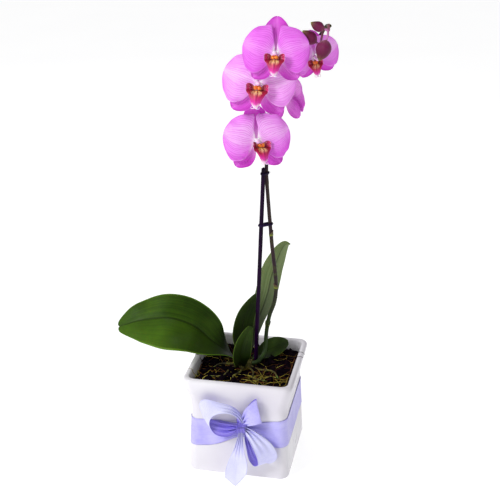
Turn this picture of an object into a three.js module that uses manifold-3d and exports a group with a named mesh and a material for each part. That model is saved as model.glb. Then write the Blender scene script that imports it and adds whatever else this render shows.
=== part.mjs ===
// A potted moth orchid: five open flowers and three buds on a staked spike, five leaves on a short crown,
// bark mix and roots, in a square glazed pot dressed with a satin ribbon and bow.
// Millimetres, +Z up. The origin is the centre of the pot's underside, and the bow is on the -Y side.
import * as THREE from "three";
import { mergeVertices } from "three/addons/utils/BufferGeometryUtils.js";
import Module from "manifold-3d";

const wasm = await Module();
wasm.setup();

// ---- Driving dimensions ---------------------------------------------------------------------------

const CLEARANCE = 0.3; // between pieces that touch in real life

const POT_HEIGHT = 136;
const POT_RIM_WIDTH = 140;
const POT_WAIST_WIDTH = 124;
const POT_FOOT_WIDTH = 131;
const POT_WAIST_HEIGHT = 92;
const POT_WALL = 7.5;
const POT_FLOOR = 8;
const POT_CORNER_RADIUS = 12; // of the vertical edges, seen from above
const POT_EDGE_RADIUS = 3.5; // of the foot's and the rim's rounding
const POT_RINGS = 6; // levels along each wall

const HEADSPACE = 11; // from the rim down to the bark mix
const MIX_CHAMFER = 3;

const RIBBON_WIDTH = 38;
const RIBBON_THICKNESS = 0.8;
const RIBBON_LOW_EDGE = 43; // height of its lower edge in front
const RIBBON_SLOPE = 0.07; // it is tied a little higher on the right

const KNOT_X = 7;
const KNOT_RADIUS = 6.5;
const LOOP_THICKNESS = 1;

const PLANT_AT = [3, -3]; // where the pot's middle meets the plant's own origin
const CROWN_AT = [-6, 6];
const CROWN_RADIUS = 9;
const CROWN_RISE = 12; // above the mix
const CROWN_DEPTH = 22; // below the mix's surface

const STAKE_RADIUS = 1.9;
const STAKE_RISE = 270;
const STAKE_DEPTH = 95;
const STAKE_FOOT = [6, 14];
const STAKE_LEAN = [13, -9]; // how far its top stands from above its foot

const SPIKE_RADIUS = 2.2;
const PEDICEL_RADIUS = 1.25;
const STALK_ARCH = 4; // how far a stalk arches above a straight line

const TIE_WIDTH = 3;
const TIE_THICKNESS = 0.9;

const LEAF_THICKNESS = 1.8;
const PETAL_THICKNESS = 0.9;

const ROOT_RADIUS = 1.3;

// ---- Shared geometry helpers ----------------------------------------------------------------------

const V = (x, y, z) => new THREE.Vector3(x, y, z);
const toV = (p) => V(p[0], p[1], p[2]);
const smooth = (t) => t * t * (3 - 2 * t);
const mix = (a, b, t) => a + (b - a) * t;
const range = (n) => Array.from({ length: n }, (_, i) => i);
const easeEnds = (t) => (1 - Math.cos(Math.PI * t)) / 2; // finer steps near both ends
const curveOf = (points) => new THREE.CatmullRomCurve3(points.map(toV), false, "centripetal");

function geometryOf(points, faces) {
  const geometry = new THREE.BufferGeometry();
  geometry.setAttribute("position", new THREE.Float32BufferAttribute(points.flatMap((p) => p.toArray()), 3));
  geometry.setIndex(faces);
  return geometry;
}

// Joins level loops of points into one skin. An open stack is capped flat at both ends, and a closed one
// runs from its last loop back to its first, as a band does.
function loft(loops, closed = false) {
  const points = loops.flat();
  const around = loops[0].length;
  const faces = [];
  const spans = closed ? loops.length : loops.length - 1;
  for (const level of range(spans)) {
    const low = level * around;
    const high = ((level + 1) % loops.length) * around;
    for (const i of range(around)) {
      const j = (i + 1) % around;
      faces.push(low + i, low + j, high + j, low + i, high + j, high + i);
    }
  }
  if (!closed) {
    const last = (loops.length - 1) * around;
    for (const i of range(around - 2)) {
      faces.push(0, i + 2, i + 1);
      faces.push(last, last + i + 1, last + i + 2);
    }
  }
  return geometryOf(points, faces);
}

// A thin solid on both sides of the surface at(u, v), with u across from -1 to 1 and v along from 0 to 1.
function sheet(at, across, along, thickness) {
  const step = 1e-3;
  const points = [];
  for (const side of [0.5, -0.5]) {
    for (const i of range(along + 1)) {
      for (const j of range(across + 1)) {
        const u = -1 + (2 * j) / across;
        const v = i / along;
        const du = at(Math.min(u + step, 1), v).sub(at(Math.max(u - step, -1), v));
        const dv = at(u, Math.min(v + step, 1)).sub(at(u, Math.max(v - step, 0)));
        const normal = du.cross(dv).normalize();
        points.push(at(u, v).addScaledVector(normal, side * thickness));
      }
    }
  }
  const row = across + 1;
  const back = row * (along + 1);
  const faces = [];
  const quad = (a, b, c, d) => faces.push(a, b, c, a, c, d);
  for (const i of range(along)) {
    for (const j of range(across)) {
      const a = i * row + j;
      quad(a, a + 1, a + row + 1, a + row);
      quad(back + a, back + a + row, back + a + row + 1, back + a + 1);
    }
    const left = i * row;
    const right = left + across;
    quad(left, left + row, back + left + row, back + left);
    quad(right, back + right, back + right + row, right + row);
  }
  for (const j of range(across)) {
    const last = along * row + j;
    quad(j, back + j, back + j + 1, j + 1);
    quad(last, last + 1, back + last + 1, back + last);
  }
  return geometryOf(points, faces);
}

function tube(points, radius, sides, steps) {
  const section = new THREE.Shape(
    range(sides).map((i) => {
      const angle = (2 * Math.PI * i) / sides;
      return new THREE.Vector2(radius * Math.cos(angle), radius * Math.sin(angle));
    }),
  );
  return new THREE.ExtrudeGeometry(section, { steps, bevelEnabled: false, extrudePath: curveOf(points) });
}

function solidOf(geometry, matrix = new THREE.Matrix4()) {
  const bare = geometry.clone().applyMatrix4(matrix);
  bare.deleteAttribute("normal");
  bare.deleteAttribute("uv");
  const merged = mergeVertices(bare, 1e-4);
  const made = new wasm.Mesh({
    numProp: 3,
    vertProperties: merged.attributes.position.array,
    triVerts: new Uint32Array(merged.index.array),
  });
  return new wasm.Manifold(made);
}

function geometryFrom(solid) {
  const mesh = solid.getMesh();
  const geometry = new THREE.BufferGeometry();
  geometry.setAttribute("position", new THREE.Float32BufferAttribute(mesh.vertProperties, 3));
  geometry.setIndex(new THREE.BufferAttribute(mesh.triVerts, 1));
  return geometry;
}

const finish = (color, roughness) => new THREE.MeshStandardMaterial({ color, roughness, metalness: 0 });
const MATERIALS = {
  glaze: finish(0xf4f2f5, 0.12),
  bark: finish(0x1d1418, 0.95),
  satin: finish(0xb7b2f2, 0.4),
  leaf: finish(0x3c6416, 0.4),
  crown: finish(0x5c6a34, 0.6),
  spike: finish(0x4a4a26, 0.5),
  stake: finish(0x2a0d33, 0.45),
  tie: finish(0x26133a, 0.5),
  petal: finish(0xee86ee, 0.6),
  lip: finish(0xc01574, 0.5),
  column: finish(0xf9d9f4, 0.5),
  bud: finish(0x7a2a50, 0.5),
  root: finish(0x8f8a3c, 0.8),
};

function piece(name, geometry, material) {
  const mesh = new THREE.Mesh(geometry, MATERIALS[material]);
  mesh.name = name;
  return mesh;
}

// ---- Pot, mix and ribbon --------------------------------------------------------------------------

const MIX_TOP = POT_HEIGHT - HEADSPACE;

// Half the pot's outside width at height z: widest at the rim, drawn in at the waist, fuller at the foot.
function potHalf(z) {
  const [foot, waist, rim] = [POT_FOOT_WIDTH / 2, POT_WAIST_WIDTH / 2, POT_RIM_WIDTH / 2];
  if (z < POT_WAIST_HEIGHT) {
    return mix(foot, waist, smooth(Math.max(0, z) / POT_WAIST_HEIGHT));
  }
  return mix(waist, rim, smooth((z - POT_WAIST_HEIGHT) / (POT_HEIGHT - POT_WAIST_HEIGHT)));
}

// A level square with rounded corners. heightAt may lift it by its place along X.
function roundedSquare(half, radius, z, heightAt = () => 0) {
  const steps = 3;
  const corner = half - radius;
  return range(4).flatMap((quarter) =>
    range(steps + 1).map((i) => {
      const angle = (quarter + i / steps) * (Math.PI / 2);
      const [signX, signY] = [
        [1, 1],
        [-1, 1],
        [-1, -1],
        [1, -1],
      ][quarter];
      const x = signX * corner + radius * Math.cos(angle);
      return V(x, signY * corner + radius * Math.sin(angle), z + heightAt(x));
    }),
  );
}

function pot() {
  const loops = [];
  const edgeSteps = 3;
  const inside = (z) => potHalf(z) - POT_WALL;
  const innerRadius = POT_CORNER_RADIUS - POT_WALL / 2;
  const add = (half, radius, z) => loops.push(roundedSquare(half, radius, z));
  for (const i of range(edgeSteps + 1)) {
    const angle = (i / edgeSteps) * (Math.PI / 2);
    const inset = POT_EDGE_RADIUS * (1 - Math.sin(angle));
    add(potHalf(0) - inset, POT_CORNER_RADIUS - inset, POT_EDGE_RADIUS * (1 - Math.cos(angle)));
  }
  const low = POT_EDGE_RADIUS;
  const high = POT_HEIGHT - POT_EDGE_RADIUS;
  for (const i of range(POT_RINGS - 1)) {
    const z = mix(low, high, (i + 1) / POT_RINGS);
    add(potHalf(z), POT_CORNER_RADIUS, z);
  }
  for (const i of range(edgeSteps + 1)) {
    const angle = (i / edgeSteps) * (Math.PI / 2);
    const inset = POT_EDGE_RADIUS * (1 - Math.cos(angle));
    add(potHalf(high) - inset, POT_CORNER_RADIUS - inset, high + POT_EDGE_RADIUS * Math.sin(angle));
  }
  for (const i of range(POT_RINGS)) {
    const z = mix(POT_HEIGHT - 1, POT_FLOOR, i / (POT_RINGS - 1));
    add(inside(z), innerRadius, z);
  }
  return piece("pot", loft(loops), "glaze");
}

// The hole that a piece pushed into the mix leaves, a clearance wider than the piece. Heights are from the
// mix's surface.
function pocket(at, lean, radius, low, high) {
  const sides = 16;
  const wide = (radius + CLEARANCE) / Math.cos(Math.PI / sides);
  const hole = new THREE.CylinderGeometry(wide, wide, high - low, sides);
  hole.rotateX(Math.PI / 2).translate(0, 0, (high + low) / 2);
  const shear = new THREE.Matrix4().set(1, 0, lean[0], at[0], 0, 1, lean[1], at[1], 0, 0, 1, MIX_TOP, 0, 0, 0, 1);
  return solidOf(hole, new THREE.Matrix4().makeTranslation(PLANT_AT[0], PLANT_AT[1], 0).multiply(shear));
}

function pottingMix() {
  const innerRadius = POT_CORNER_RADIUS - POT_WALL / 2;
  const halfAt = (z) => potHalf(z) - POT_WALL - 4 * CLEARANCE;
  const low = POT_FLOOR + CLEARANCE;
  const loops = range(POT_RINGS).map((i) => {
    const z = mix(low, MIX_TOP - MIX_CHAMFER, i / (POT_RINGS - 1));
    return roundedSquare(halfAt(z), innerRadius, z);
  });
  loops.push(roundedSquare(halfAt(MIX_TOP - MIX_CHAMFER) - MIX_CHAMFER, innerRadius, MIX_TOP));
  const lean = STAKE_LEAN.map((x) => x / STAKE_RISE);
  const crownPocket = pocket(CROWN_AT, [0, 0], CROWN_RADIUS, -CROWN_DEPTH - CLEARANCE, 5);
  const stakePocket = pocket(STAKE_FOOT, lean, STAKE_RADIUS, -STAKE_DEPTH - 2 * CLEARANCE, 5);
  const solid = solidOf(loft(loops)).subtract(crownPocket).subtract(stakePocket);
  return piece("potting_mix", geometryFrom(solid), "bark");
}

function ribbonBand() {
  const rise = (x) => RIBBON_SLOPE * x;
  const levels = 7;
  const loops = [];
  const add = (offset, z) => {
    const loop = roundedSquare(potHalf(z) + offset, POT_CORNER_RADIUS + offset, z, rise);
    for (const p of loop) {
      const wider = (potHalf(p.z) + offset) / (potHalf(z) + offset);
      p.x *= wider;
      p.y *= wider;
    }
    loops.push(loop);
  };
  for (const i of range(levels)) {
    add(3 * CLEARANCE + RIBBON_THICKNESS, RIBBON_LOW_EDGE + (RIBBON_WIDTH * i) / (levels - 1));
  }
  for (const i of range(levels)) {
    add(3 * CLEARANCE, RIBBON_LOW_EDGE + RIBBON_WIDTH * (1 - i / (levels - 1)));
  }
  return piece("ribbon_band", loft(loops, true), "satin");
}

// The bow stands on the band's front. Its own axes: x to the right, out away from the pot, z up.
const KNOT_Z = RIBBON_LOW_EDGE + RIBBON_WIDTH * 0.88;
const bandFace = (z) => potHalf(z) + 4 * CLEARANCE + RIBBON_THICKNESS;
const fromKnot = (x, out, z) => V(KNOT_X + x, -bandFace(KNOT_Z + z) - out, KNOT_Z + z);

// A loop runs out from the knot along `reach`, round, and back. `across` points from its far rim to its
// near rim, and `puff` is how far its two layers stand apart.
const LOOPS = [
  { reach: [-50, 15], across: [0.12, 0.35, -0.93], out: 13, puff: 9, width: RIBBON_WIDTH * 0.95 },
  { reach: [23, 34], across: [0.15, 0.1, -0.98], out: 9, puff: 5.5, width: RIBBON_WIDTH * 0.9 },
  { reach: [31, -40], across: [-0.87, 0.2, -0.45], out: 12, puff: 8, width: RIBBON_WIDTH * 0.88 },
];
const TAIL = { reach: [-7, -74], spread: [1, 0.15], width: RIBBON_WIDTH * 0.8, out: [8, 17, 21] };

function bowLoop({ reach, across, out, puff, width }) {
  const gather = 0.2;
  return (u, v) => {
    const angle = mix(0.04, 0.96, v) * 2 * Math.PI;
    const away = (1 - Math.cos(angle)) / 2;
    const half = (width / 2) * mix(gather, 1, Math.sin(angle / 2) ** 0.8) * u;
    const depth = mix(KNOT_RADIUS * 0.8, out, away) + puff * Math.sin(angle);
    return fromKnot(
      reach[0] * away + across[0] * half,
      Math.max(LOOP_THICKNESS, depth + across[1] * half),
      reach[1] * away + across[2] * half,
    );
  };
}

function bowTail(u, v) {
  const half = (TAIL.width / 2) * mix(0.2, 1, smooth(Math.min(1, v * 1.15)));
  const out = v < 0.5 ? mix(TAIL.out[0], TAIL.out[1], smooth(2 * v)) : mix(TAIL.out[1], TAIL.out[2], smooth(2 * v - 1));
  const pointed = 1 - 0.17 * Math.abs(u) ** 1.2 * smooth(v);
  return fromKnot(
    TAIL.reach[0] * v + TAIL.spread[0] * half * u,
    out + TAIL.spread[1] * half * u,
    TAIL.reach[1] * v * pointed,
  );
}

function ribbonBow() {
  const knot = new THREE.SphereGeometry(KNOT_RADIUS, 10, 6);
  knot.scale(0.9, 0.95, 1.1);
  const centre = fromKnot(0, KNOT_RADIUS * 0.95, 0);
  knot.translate(centre.x, centre.y, centre.z);
  let solid = solidOf(knot);
  for (const shape of LOOPS) {
    solid = solid.add(solidOf(sheet(bowLoop(shape), 2, 16, LOOP_THICKNESS)));
  }
  solid = solid.add(solidOf(sheet(bowTail, 4, 6, LOOP_THICKNESS)));
  return piece("ribbon_bow", geometryFrom(solid), "satin");
}

// ---- Crown, leaves and roots, measured from the mix's surface -------------------------------------

function crown() {
  const profile = [
    [0, -CROWN_DEPTH],
    [CROWN_RADIUS * 0.7, -CROWN_DEPTH],
    [CROWN_RADIUS, -CROWN_DEPTH + 6],
    [CROWN_RADIUS, CROWN_RISE - 3],
    [CROWN_RADIUS * 0.6, CROWN_RISE - 0.5],
    [0, CROWN_RISE],
  ].map(([r, y]) => new THREE.Vector2(r, y));
  const body = new THREE.LatheGeometry(profile, 14);
  body.rotateX(Math.PI / 2).translate(CROWN_AT[0], CROWN_AT[1], 0);
  return piece("crown", body, "crown");
}

// A point beside the crown, at a compass angle in degrees and a height above the mix.
function besideCrown(turn, height, gap) {
  const angle = THREE.MathUtils.degToRad(turn);
  const away = CROWN_RADIUS + gap;
  return [CROWN_AT[0] + away * Math.cos(angle), CROWN_AT[1] + away * Math.sin(angle), height];
}

// turn: where it leaves the crown. height: how high it does. midrib: the points after that, to the tip.
// faces: the way the upper side looks, at the base and the tip. fold: how steeply the two halves rise from
// the midrib, at the base and the tip. widest: where, from 0 to 1. steps: facets across and along.
const LEAVES = {
  leaf_left: {
    turn: 196,
    height: 6,
    midrib: [[-44, 3, 27], [-70, 0, 52], [-103, -6, 64], [-140, -11, 60], [-170, -14, 49]],
    faces: [[0.2, -0.45, 0.87], [0, -0.62, 0.78]],
    fold: [0.5, 0.06],
    halfWidth: 34,
    widest: 0.58,
    steps: [4, 11],
  },
  leaf_back_tall: {
    turn: 86,
    height: 6,
    midrib: [[3, 34, 45], [15, 39, 82], [24, 42, 122], [42, 37, 164]],
    faces: [[-0.25, 0.95, 0.1], [-0.4, 0.85, 0.3]],
    fold: [0.5, 0.2],
    halfWidth: 15,
    widest: 0.58,
    steps: [4, 9],
  },
  leaf_back_left: {
    turn: 138,
    height: 6,
    midrib: [[-14, 18, 28], [-9, 20.5, 62], [6, 25, 94]],
    faces: [[0.25, -0.9, 0.3], [0.5, -0.8, 0.3]],
    fold: [0.15, 0.25],
    halfWidth: 16,
    widest: 0.5,
    steps: [4, 7],
  },
  leaf_front_small: {
    turn: 278,
    height: 6,
    midrib: [[-6, -13, 20], [-2, -15, 44], [3, -13, 70]],
    faces: [[0.45, -0.8, 0.35], [0.55, -0.7, 0.45]],
    fold: [0.5, 0.3],
    halfWidth: 12,
    widest: 0.45,
    steps: [2, 6],
  },
  leaf_right_small: {
    turn: 50,
    height: 3,
    midrib: [[8, 28, 4], [27, 42, 9], [46, 45, 15]],
    faces: [[-0.1, -0.7, 0.7], [-0.15, -0.75, 0.65]],
    fold: [0.4, 0.1],
    halfWidth: 14,
    widest: 0.66,
    steps: [2, 6],
  },
};

function leaf(name) {
  const shape = LEAVES[name];
  const start = besideCrown(shape.turn, shape.height, 0);
  const steepness = toV(shape.midrib[0]).sub(toV(start)).normalize().z;
  const base = besideCrown(shape.turn, shape.height, CLEARANCE + (steepness * LEAF_THICKNESS) / 2);
  const curve = curveOf([base, ...shape.midrib]);
  const outward = V(base[0] - CROWN_AT[0], base[1] - CROWN_AT[1], 0).normalize();
  if (outward.dot(toV(shape.faces[0])) < 0) {
    outward.negate();
  }
  const clasp = 0.16; // the base's share of the full width
  const sharpness = Math.log(0.5) / Math.log(shape.widest);
  const at = (u, v) => {
    const t = mix(v, easeEnds(v), 0.7);
    const along = curve.getTangentAt(t);
    const turned = smooth(Math.min(1, t / 0.3)); // the blade clasps the crown, then turns to face its own way
    const up = outward.clone().lerp(toV(shape.faces[0]).lerp(toV(shape.faces[1]), t), turned);
    up.addScaledVector(along, -up.dot(along)).normalize();
    const side = along.clone().cross(up);
    const round = Math.sin(Math.PI * t ** sharpness) ** mix(1, 0.6, smooth(t));
    const half = shape.halfWidth * mix(clasp, 1, round) * (1 - 0.1 * t ** 8);
    const rise = turned * mix(shape.fold[0], shape.fold[1], t) * half * Math.abs(u) ** 1.3;
    return curve.getPointAt(t).addScaledVector(side, half * u).addScaledVector(up, rise);
  };
  return piece(name, sheet(at, shape.steps[0], shape.steps[1], LEAF_THICKNESS), "leaf");
}

// Roots leave the crown low down, cross the mix in loose waves and stop short of the pot's wall.
// turn: compass angle in degrees. wave: sideways swing. reach: length along the surface.
const ROOTS = [
  { turn: 198, wave: 5, reach: 34 },
  { turn: 232, wave: -7, reach: 48 },
  { turn: 262, wave: 6, reach: 40 },
  { turn: 303, wave: 8, reach: 46 },
  { turn: 333, wave: -6, reach: 48 },
  { turn: 118, wave: 6, reach: 26 },
];

function root({ turn, wave, reach }, number) {
  const angle = THREE.MathUtils.degToRad(turn);
  const out = [Math.cos(angle), Math.sin(angle)];
  const level = ROOT_RADIUS + 1.5 * CLEARANCE;
  const steps = 6;
  const points = range(steps + 1).map((i) => {
    const t = i / steps;
    const along = CROWN_RADIUS + ROOT_RADIUS + CLEARANCE + reach * t;
    const aside = wave * Math.sin(2.4 * Math.PI * t) * t;
    return [CROWN_AT[0] + out[0] * along - out[1] * aside, CROWN_AT[1] + out[1] * along + out[0] * aside, level];
  });
  return piece(`root_${number + 1}`, tube(points, ROOT_RADIUS, 6, 9), "root");
}

// ---- Stake, spike and ties, measured from the mix's surface ---------------------------------------

const stakeAt = (z) => V(STAKE_FOOT[0] + (STAKE_LEAN[0] * z) / STAKE_RISE, STAKE_FOOT[1] + (STAKE_LEAN[1] * z) / STAKE_RISE, z);

function stake() {
  const low = stakeAt(-STAKE_DEPTH);
  const high = stakeAt(STAKE_RISE);
  const rod = new THREE.CylinderGeometry(STAKE_RADIUS, STAKE_RADIUS, high.distanceTo(low), 12);
  rod.applyQuaternion(new THREE.Quaternion().setFromUnitVectors(V(0, 1, 0), high.clone().sub(low).normalize()));
  const middle = high.clone().add(low).multiplyScalar(0.5);
  rod.translate(middle.x, middle.y, middle.z);
  return piece("stake", rod, "stake");
}

// The spike leaves the crown behind the stake, bows right, meets the stake's top and leans to its tip.
const SPIKE_TURN = 352;
const SPIKE_PATH = [
  besideCrown(SPIKE_TURN, 4, 2 * CLEARANCE), besideCrown(SPIKE_TURN + 6, 5, 5.5), [13, 12, 7], [16.5, 21, 13],
  [18, 28, 41], [22, 26, 63], [29, 24, 85], [31.5, 22, 106], [30, 20, 133], [27, 18, 164], [25, 15, 195],
  [22.5, 12.5, 235], [21.5, 10, 262], [22.5, 10, 290], [27, 12, 335], [40, 14, 365], [57, 18, 384],
  [70, 23, 406], [82, 21, 426], [90, 14, 437], [95, 3, 439],
];
const spikeCurve = curveOf(SPIKE_PATH);

function spikePointAt(z) {
  const fine = 400;
  const points = spikeCurve.getSpacedPoints(fine);
  return points.reduce((best, p) => (Math.abs(p.z - z) < Math.abs(best.z - z) ? p : best));
}

function tie(name, z) {
  const a = stakeAt(z);
  const b = spikePointAt(z);
  const apart = Math.hypot(b.x - a.x, b.y - a.y);
  const outline = (radius) => {
    const path = new THREE.Path();
    path.absarc(apart, 0, radius, -Math.PI / 2, Math.PI / 2, false);
    path.absarc(0, 0, radius, Math.PI / 2, (3 * Math.PI) / 2, false);
    return path.getPoints(5);
  };
  const inner = SPIKE_RADIUS + 2 * CLEARANCE;
  const shape = new THREE.Shape(outline(inner + TIE_THICKNESS));
  shape.holes.push(new THREE.Path(outline(inner)));
  const band = new THREE.ExtrudeGeometry(shape, { depth: TIE_WIDTH, bevelEnabled: false, curveSegments: 7 });
  band.rotateZ(Math.atan2(b.y - a.y, b.x - a.x)).translate(a.x, a.y, z - TIE_WIDTH / 2);
  return piece(name, band, "tie");
}

// ---- Flowers --------------------------------------------------------------------------------------

// A flower's own axes: x to its right and z up as one looks at its face, which looks along -y.
// at: its hub, from the mix's surface. yaw turns it about z, pitch tips its face up, roll spins the face.
// joins: where its stalk leaves the spike, as a share of the spike's length.
const FLOWERS = [
  { at: [39, -26, 412], yaw: 4, pitch: 16, roll: 0, scale: 0.89, joins: 0.845 },
  { at: [17.5, -15, 375], yaw: 6, pitch: 18, roll: 4, scale: 1, joins: 0.745 },
  { at: [14.5, -12, 307], yaw: 16, pitch: 16, roll: -3, scale: 0.93, joins: 0.62 },
  { at: [38, 40, 350], yaw: 142, pitch: 6, roll: 12, scale: 0.86, joins: 0.7 },
  { at: [77.5, 14, 402], yaw: 25, pitch: -6, roll: -14, scale: 0.68, joins: 0.86 },
];
const BUDS = [
  { at: [93, -11, 426], points: [-0.3, -0.16, -0.93], length: 24, radius: 8.6, joins: 0.982 },
  { at: [81, -4, 421.5], points: [-0.7, -0.27, 0.66], length: 21, radius: 7.2, joins: 0.972 },
  { at: [90, -5, 437], points: [-0.85, -0.15, 0.4], length: 17, radius: 5.6, joins: 0.992 },
];

const HUB = 2.6; // radius of the column where the petals meet it
const BLADE_START = HUB + 0.5;

// A petal or sepal: a rounded blade on a narrow claw. `angle` is its direction in the flower's face.
function blade({ angle, length, halfWidth, widest, sweep, layer, back, crown: bulge, curl }) {
  const claw = 0.08;
  const sharpness = Math.log(0.5) / Math.log(widest);
  const [cos, sin] = [Math.cos(angle), Math.sin(angle)];
  return (u, v) => {
    const t = easeEnds(v);
    const half = halfWidth * mix(claw, 1, Math.sin(Math.PI * t ** sharpness) ** 0.62);
    const lobe = sweep * half * Math.max(0, u) ** 2;
    const along = BLADE_START + length * t - lobe * Math.sin(Math.PI * Math.min(1, t * 1.2));
    const aside = half * u;
    const depth = layer + back * t - bulge * Math.sin(Math.PI * t) * (1 - 0.5 * u * u) + curl * t * t * u * u;
    return [along * cos - aside * sin, depth, along * sin + aside * cos];
  };
}

const PETAL = { angle: 0.3, length: 40, halfWidth: 31, widest: 0.46, sweep: 0.25, layer: 0, back: 1, crown: 3.5, curl: 1 };
const SIDE_SEPAL = { angle: -0.8, length: 38, halfWidth: 13.5, widest: 0.58, sweep: 0, layer: 2.4, back: 3.5, crown: -1, curl: -1 };
const TOP_SEPAL = { angle: Math.PI / 2, length: 43, halfWidth: 14, widest: 0.58, sweep: 0, layer: 2.4, back: 3, crown: -1, curl: -2 };
const MIDLINE = 0.9; // how near the flower's midline a petal's edge may come

function bladePiece(name, shape, side, across, along) {
  const local = blade(shape);
  const at = (u, v) => {
    const [x, y, z] = local(side * u, v);
    const clear = shape === PETAL ? Math.max(x, MIDLINE) : x;
    return V(side * clear, y, z);
  };
  return piece(name, sheet(at, across, along, PETAL_THICKNESS), "petal");
}

function column(name) {
  const profile = [[0, 3], [HUB * 0.75, 3], [HUB, 1.5], [HUB, -2], [2.1, -6], [2.7, -9], [2.2, -11], [0, -12]];
  const body = new THREE.LatheGeometry(profile.map(([r, y]) => new THREE.Vector2(r, y)).reverse(), 10);
  return piece(name, body, "column");
}

// The lip: a tongue that leaves the column's foot and hangs forwards, two side lobes that rise like wings
// on both sides of the column, and a callus where they meet.
const TONGUE = [[0, -1, -3.9], [0, -5, -6], [0, -11, -8.5], [0, -16, -14], [0, -16.5, -23]];

function lip(name) {
  const curve = curveOf(TONGUE);
  const widths = [2, 3.4, 4.2, 8.6, 6.4, 1.6];
  const tongue = (u, v) => {
    const place = v * (widths.length - 1);
    const i = Math.min(widths.length - 2, Math.floor(place));
    const half = mix(widths[i], widths[i + 1], smooth(place - i));
    return curve.getPointAt(v).add(V(half * u, 1.2 * u * u, 0.8 * u * u));
  };
  const wing = (side) => (u, v) => {
    const height = 13;
    const lean = mix(0.2, 1.9, v);
    const half = mix(2.6, 5.6, Math.sin(Math.PI * v ** 0.8)) * (1 - 0.3 * v ** 6);
    const x = 1.6 + (height * (Math.sin(lean) - Math.sin(0.2))) / 1.7 + 1.5 * v;
    const z = -6.4 + (height * (Math.cos(0.2) - Math.cos(lean))) / 1.7;
    return V(side * x, -7.5 - 1.5 * v + half * u * side, z);
  };
  const callus = new THREE.SphereGeometry(2.4, 6, 4).scale(1, 1.2, 0.9).translate(0, -9.5, -7.2);
  const solid = solidOf(sheet(tongue, 2, 6, 1.2))
    .add(solidOf(sheet(wing(1), 2, 4, 1)))
    .add(solidOf(sheet(wing(-1), 2, 4, 1)))
    .add(solidOf(callus));
  return piece(name, geometryFrom(solid), "lip");
}

function flower({ at, yaw, pitch, roll, scale }, number) {
  const group = new THREE.Group();
  const name = `flower_${number + 1}`;
  group.add(bladePiece(`${name}_petal_right`, PETAL, 1, 4, 6));
  group.add(bladePiece(`${name}_petal_left`, PETAL, -1, 4, 6));
  group.add(bladePiece(`${name}_sepal_top`, TOP_SEPAL, 1, 2, 6));
  group.add(bladePiece(`${name}_sepal_right`, SIDE_SEPAL, 1, 2, 6));
  group.add(bladePiece(`${name}_sepal_left`, SIDE_SEPAL, -1, 2, 6));
  group.add(column(`${name}_column`));
  group.add(lip(`${name}_lip`));
  group.position.set(...at);
  group.rotation.order = "ZXY";
  const degrees = THREE.MathUtils.degToRad;
  group.rotation.set(degrees(-pitch), degrees(roll), degrees(yaw));
  group.scale.setScalar(scale);
  group.updateMatrix();
  return group;
}

function bud({ at, points, length, radius }, number) {
  const profile = range(8).map((i) => {
    const t = i / 7;
    const swell = Math.sin(Math.PI * t ** 0.8) ** 0.8;
    return new THREE.Vector2(i === 0 || i === 7 ? 0 : radius * swell, length * t);
  });
  const body = new THREE.LatheGeometry(profile, 10);
  body.applyQuaternion(new THREE.Quaternion().setFromUnitVectors(V(0, 1, 0), toV(points).normalize()));
  body.translate(...at);
  return piece(`bud_${number + 1}`, body, "bud");
}

// The spike with the stalk of each flower and bud: it grew as one piece.
function spike() {
  let solid = solidOf(tube(SPIKE_PATH, SPIKE_RADIUS, 8, 40));
  const stalk = (joins, bend, end) => {
    const start = spikeCurve.getPointAt(joins);
    const middle = start.clone().lerp(bend, 0.55).add(V(0, 0, STALK_ARCH));
    const points = [start, middle, bend, end].map((p) => p.toArray());
    solid = solid.add(solidOf(tube(points, PEDICEL_RADIUS, 6, 6)));
  };
  for (const shape of FLOWERS) {
    const matrix = flower(shape, 0).matrix;
    const local = (y) => V(0, y, 0).applyMatrix4(matrix);
    stalk(shape.joins, local(13), local(3 + CLEARANCE / shape.scale));
  }
  for (const { at, points, joins } of BUDS) {
    const away = toV(points).normalize();
    stalk(joins, toV(at).addScaledVector(away, -5), toV(at).addScaledVector(away, -CLEARANCE));
  }
  return piece("flower_spike", geometryFrom(solid), "spike");
}

// ---- The whole object -----------------------------------------------------------------------------

const plant = new THREE.Group();
plant.position.set(PLANT_AT[0], PLANT_AT[1], MIX_TOP);
plant.add(crown(), stake(), spike(), tie("tie_upper", 262), tie("tie_lower", 195));
plant.add(...Object.keys(LEAVES).map(leaf), ...ROOTS.map(root));
plant.add(...FLOWERS.map(flower), ...BUDS.map(bud));

const orchid = new THREE.Group();
orchid.add(pot(), pottingMix(), ribbonBand(), ribbonBow(), plant);

export default orchid;
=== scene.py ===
"""Looks of a potted moth orchid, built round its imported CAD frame: metres, +Z up, the bow on the -Y side."""

import math

import bmesh
import bpy
import numpy as np
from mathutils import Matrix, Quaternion, Vector


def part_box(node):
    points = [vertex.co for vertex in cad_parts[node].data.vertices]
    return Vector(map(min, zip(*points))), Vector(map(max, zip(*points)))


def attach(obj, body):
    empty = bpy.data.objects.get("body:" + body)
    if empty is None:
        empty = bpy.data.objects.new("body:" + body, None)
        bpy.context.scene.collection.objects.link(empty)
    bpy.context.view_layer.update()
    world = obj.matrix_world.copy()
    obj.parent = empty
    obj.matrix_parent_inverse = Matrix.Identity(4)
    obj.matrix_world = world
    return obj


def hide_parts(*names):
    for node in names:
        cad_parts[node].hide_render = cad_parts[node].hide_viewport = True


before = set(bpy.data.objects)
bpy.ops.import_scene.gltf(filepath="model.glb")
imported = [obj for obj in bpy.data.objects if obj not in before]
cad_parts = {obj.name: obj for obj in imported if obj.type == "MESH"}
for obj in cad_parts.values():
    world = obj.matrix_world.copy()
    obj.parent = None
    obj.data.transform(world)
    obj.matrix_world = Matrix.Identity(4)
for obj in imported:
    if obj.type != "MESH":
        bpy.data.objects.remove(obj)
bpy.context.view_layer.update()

MM = 0.001

# ---- Numbers and curves ----


def smooth(t):
    t = np.clip(t, 0, 1)
    return t * t * (3 - 2 * t)


def lerp(a, b, t):
    return a + (b - a) * t


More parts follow.
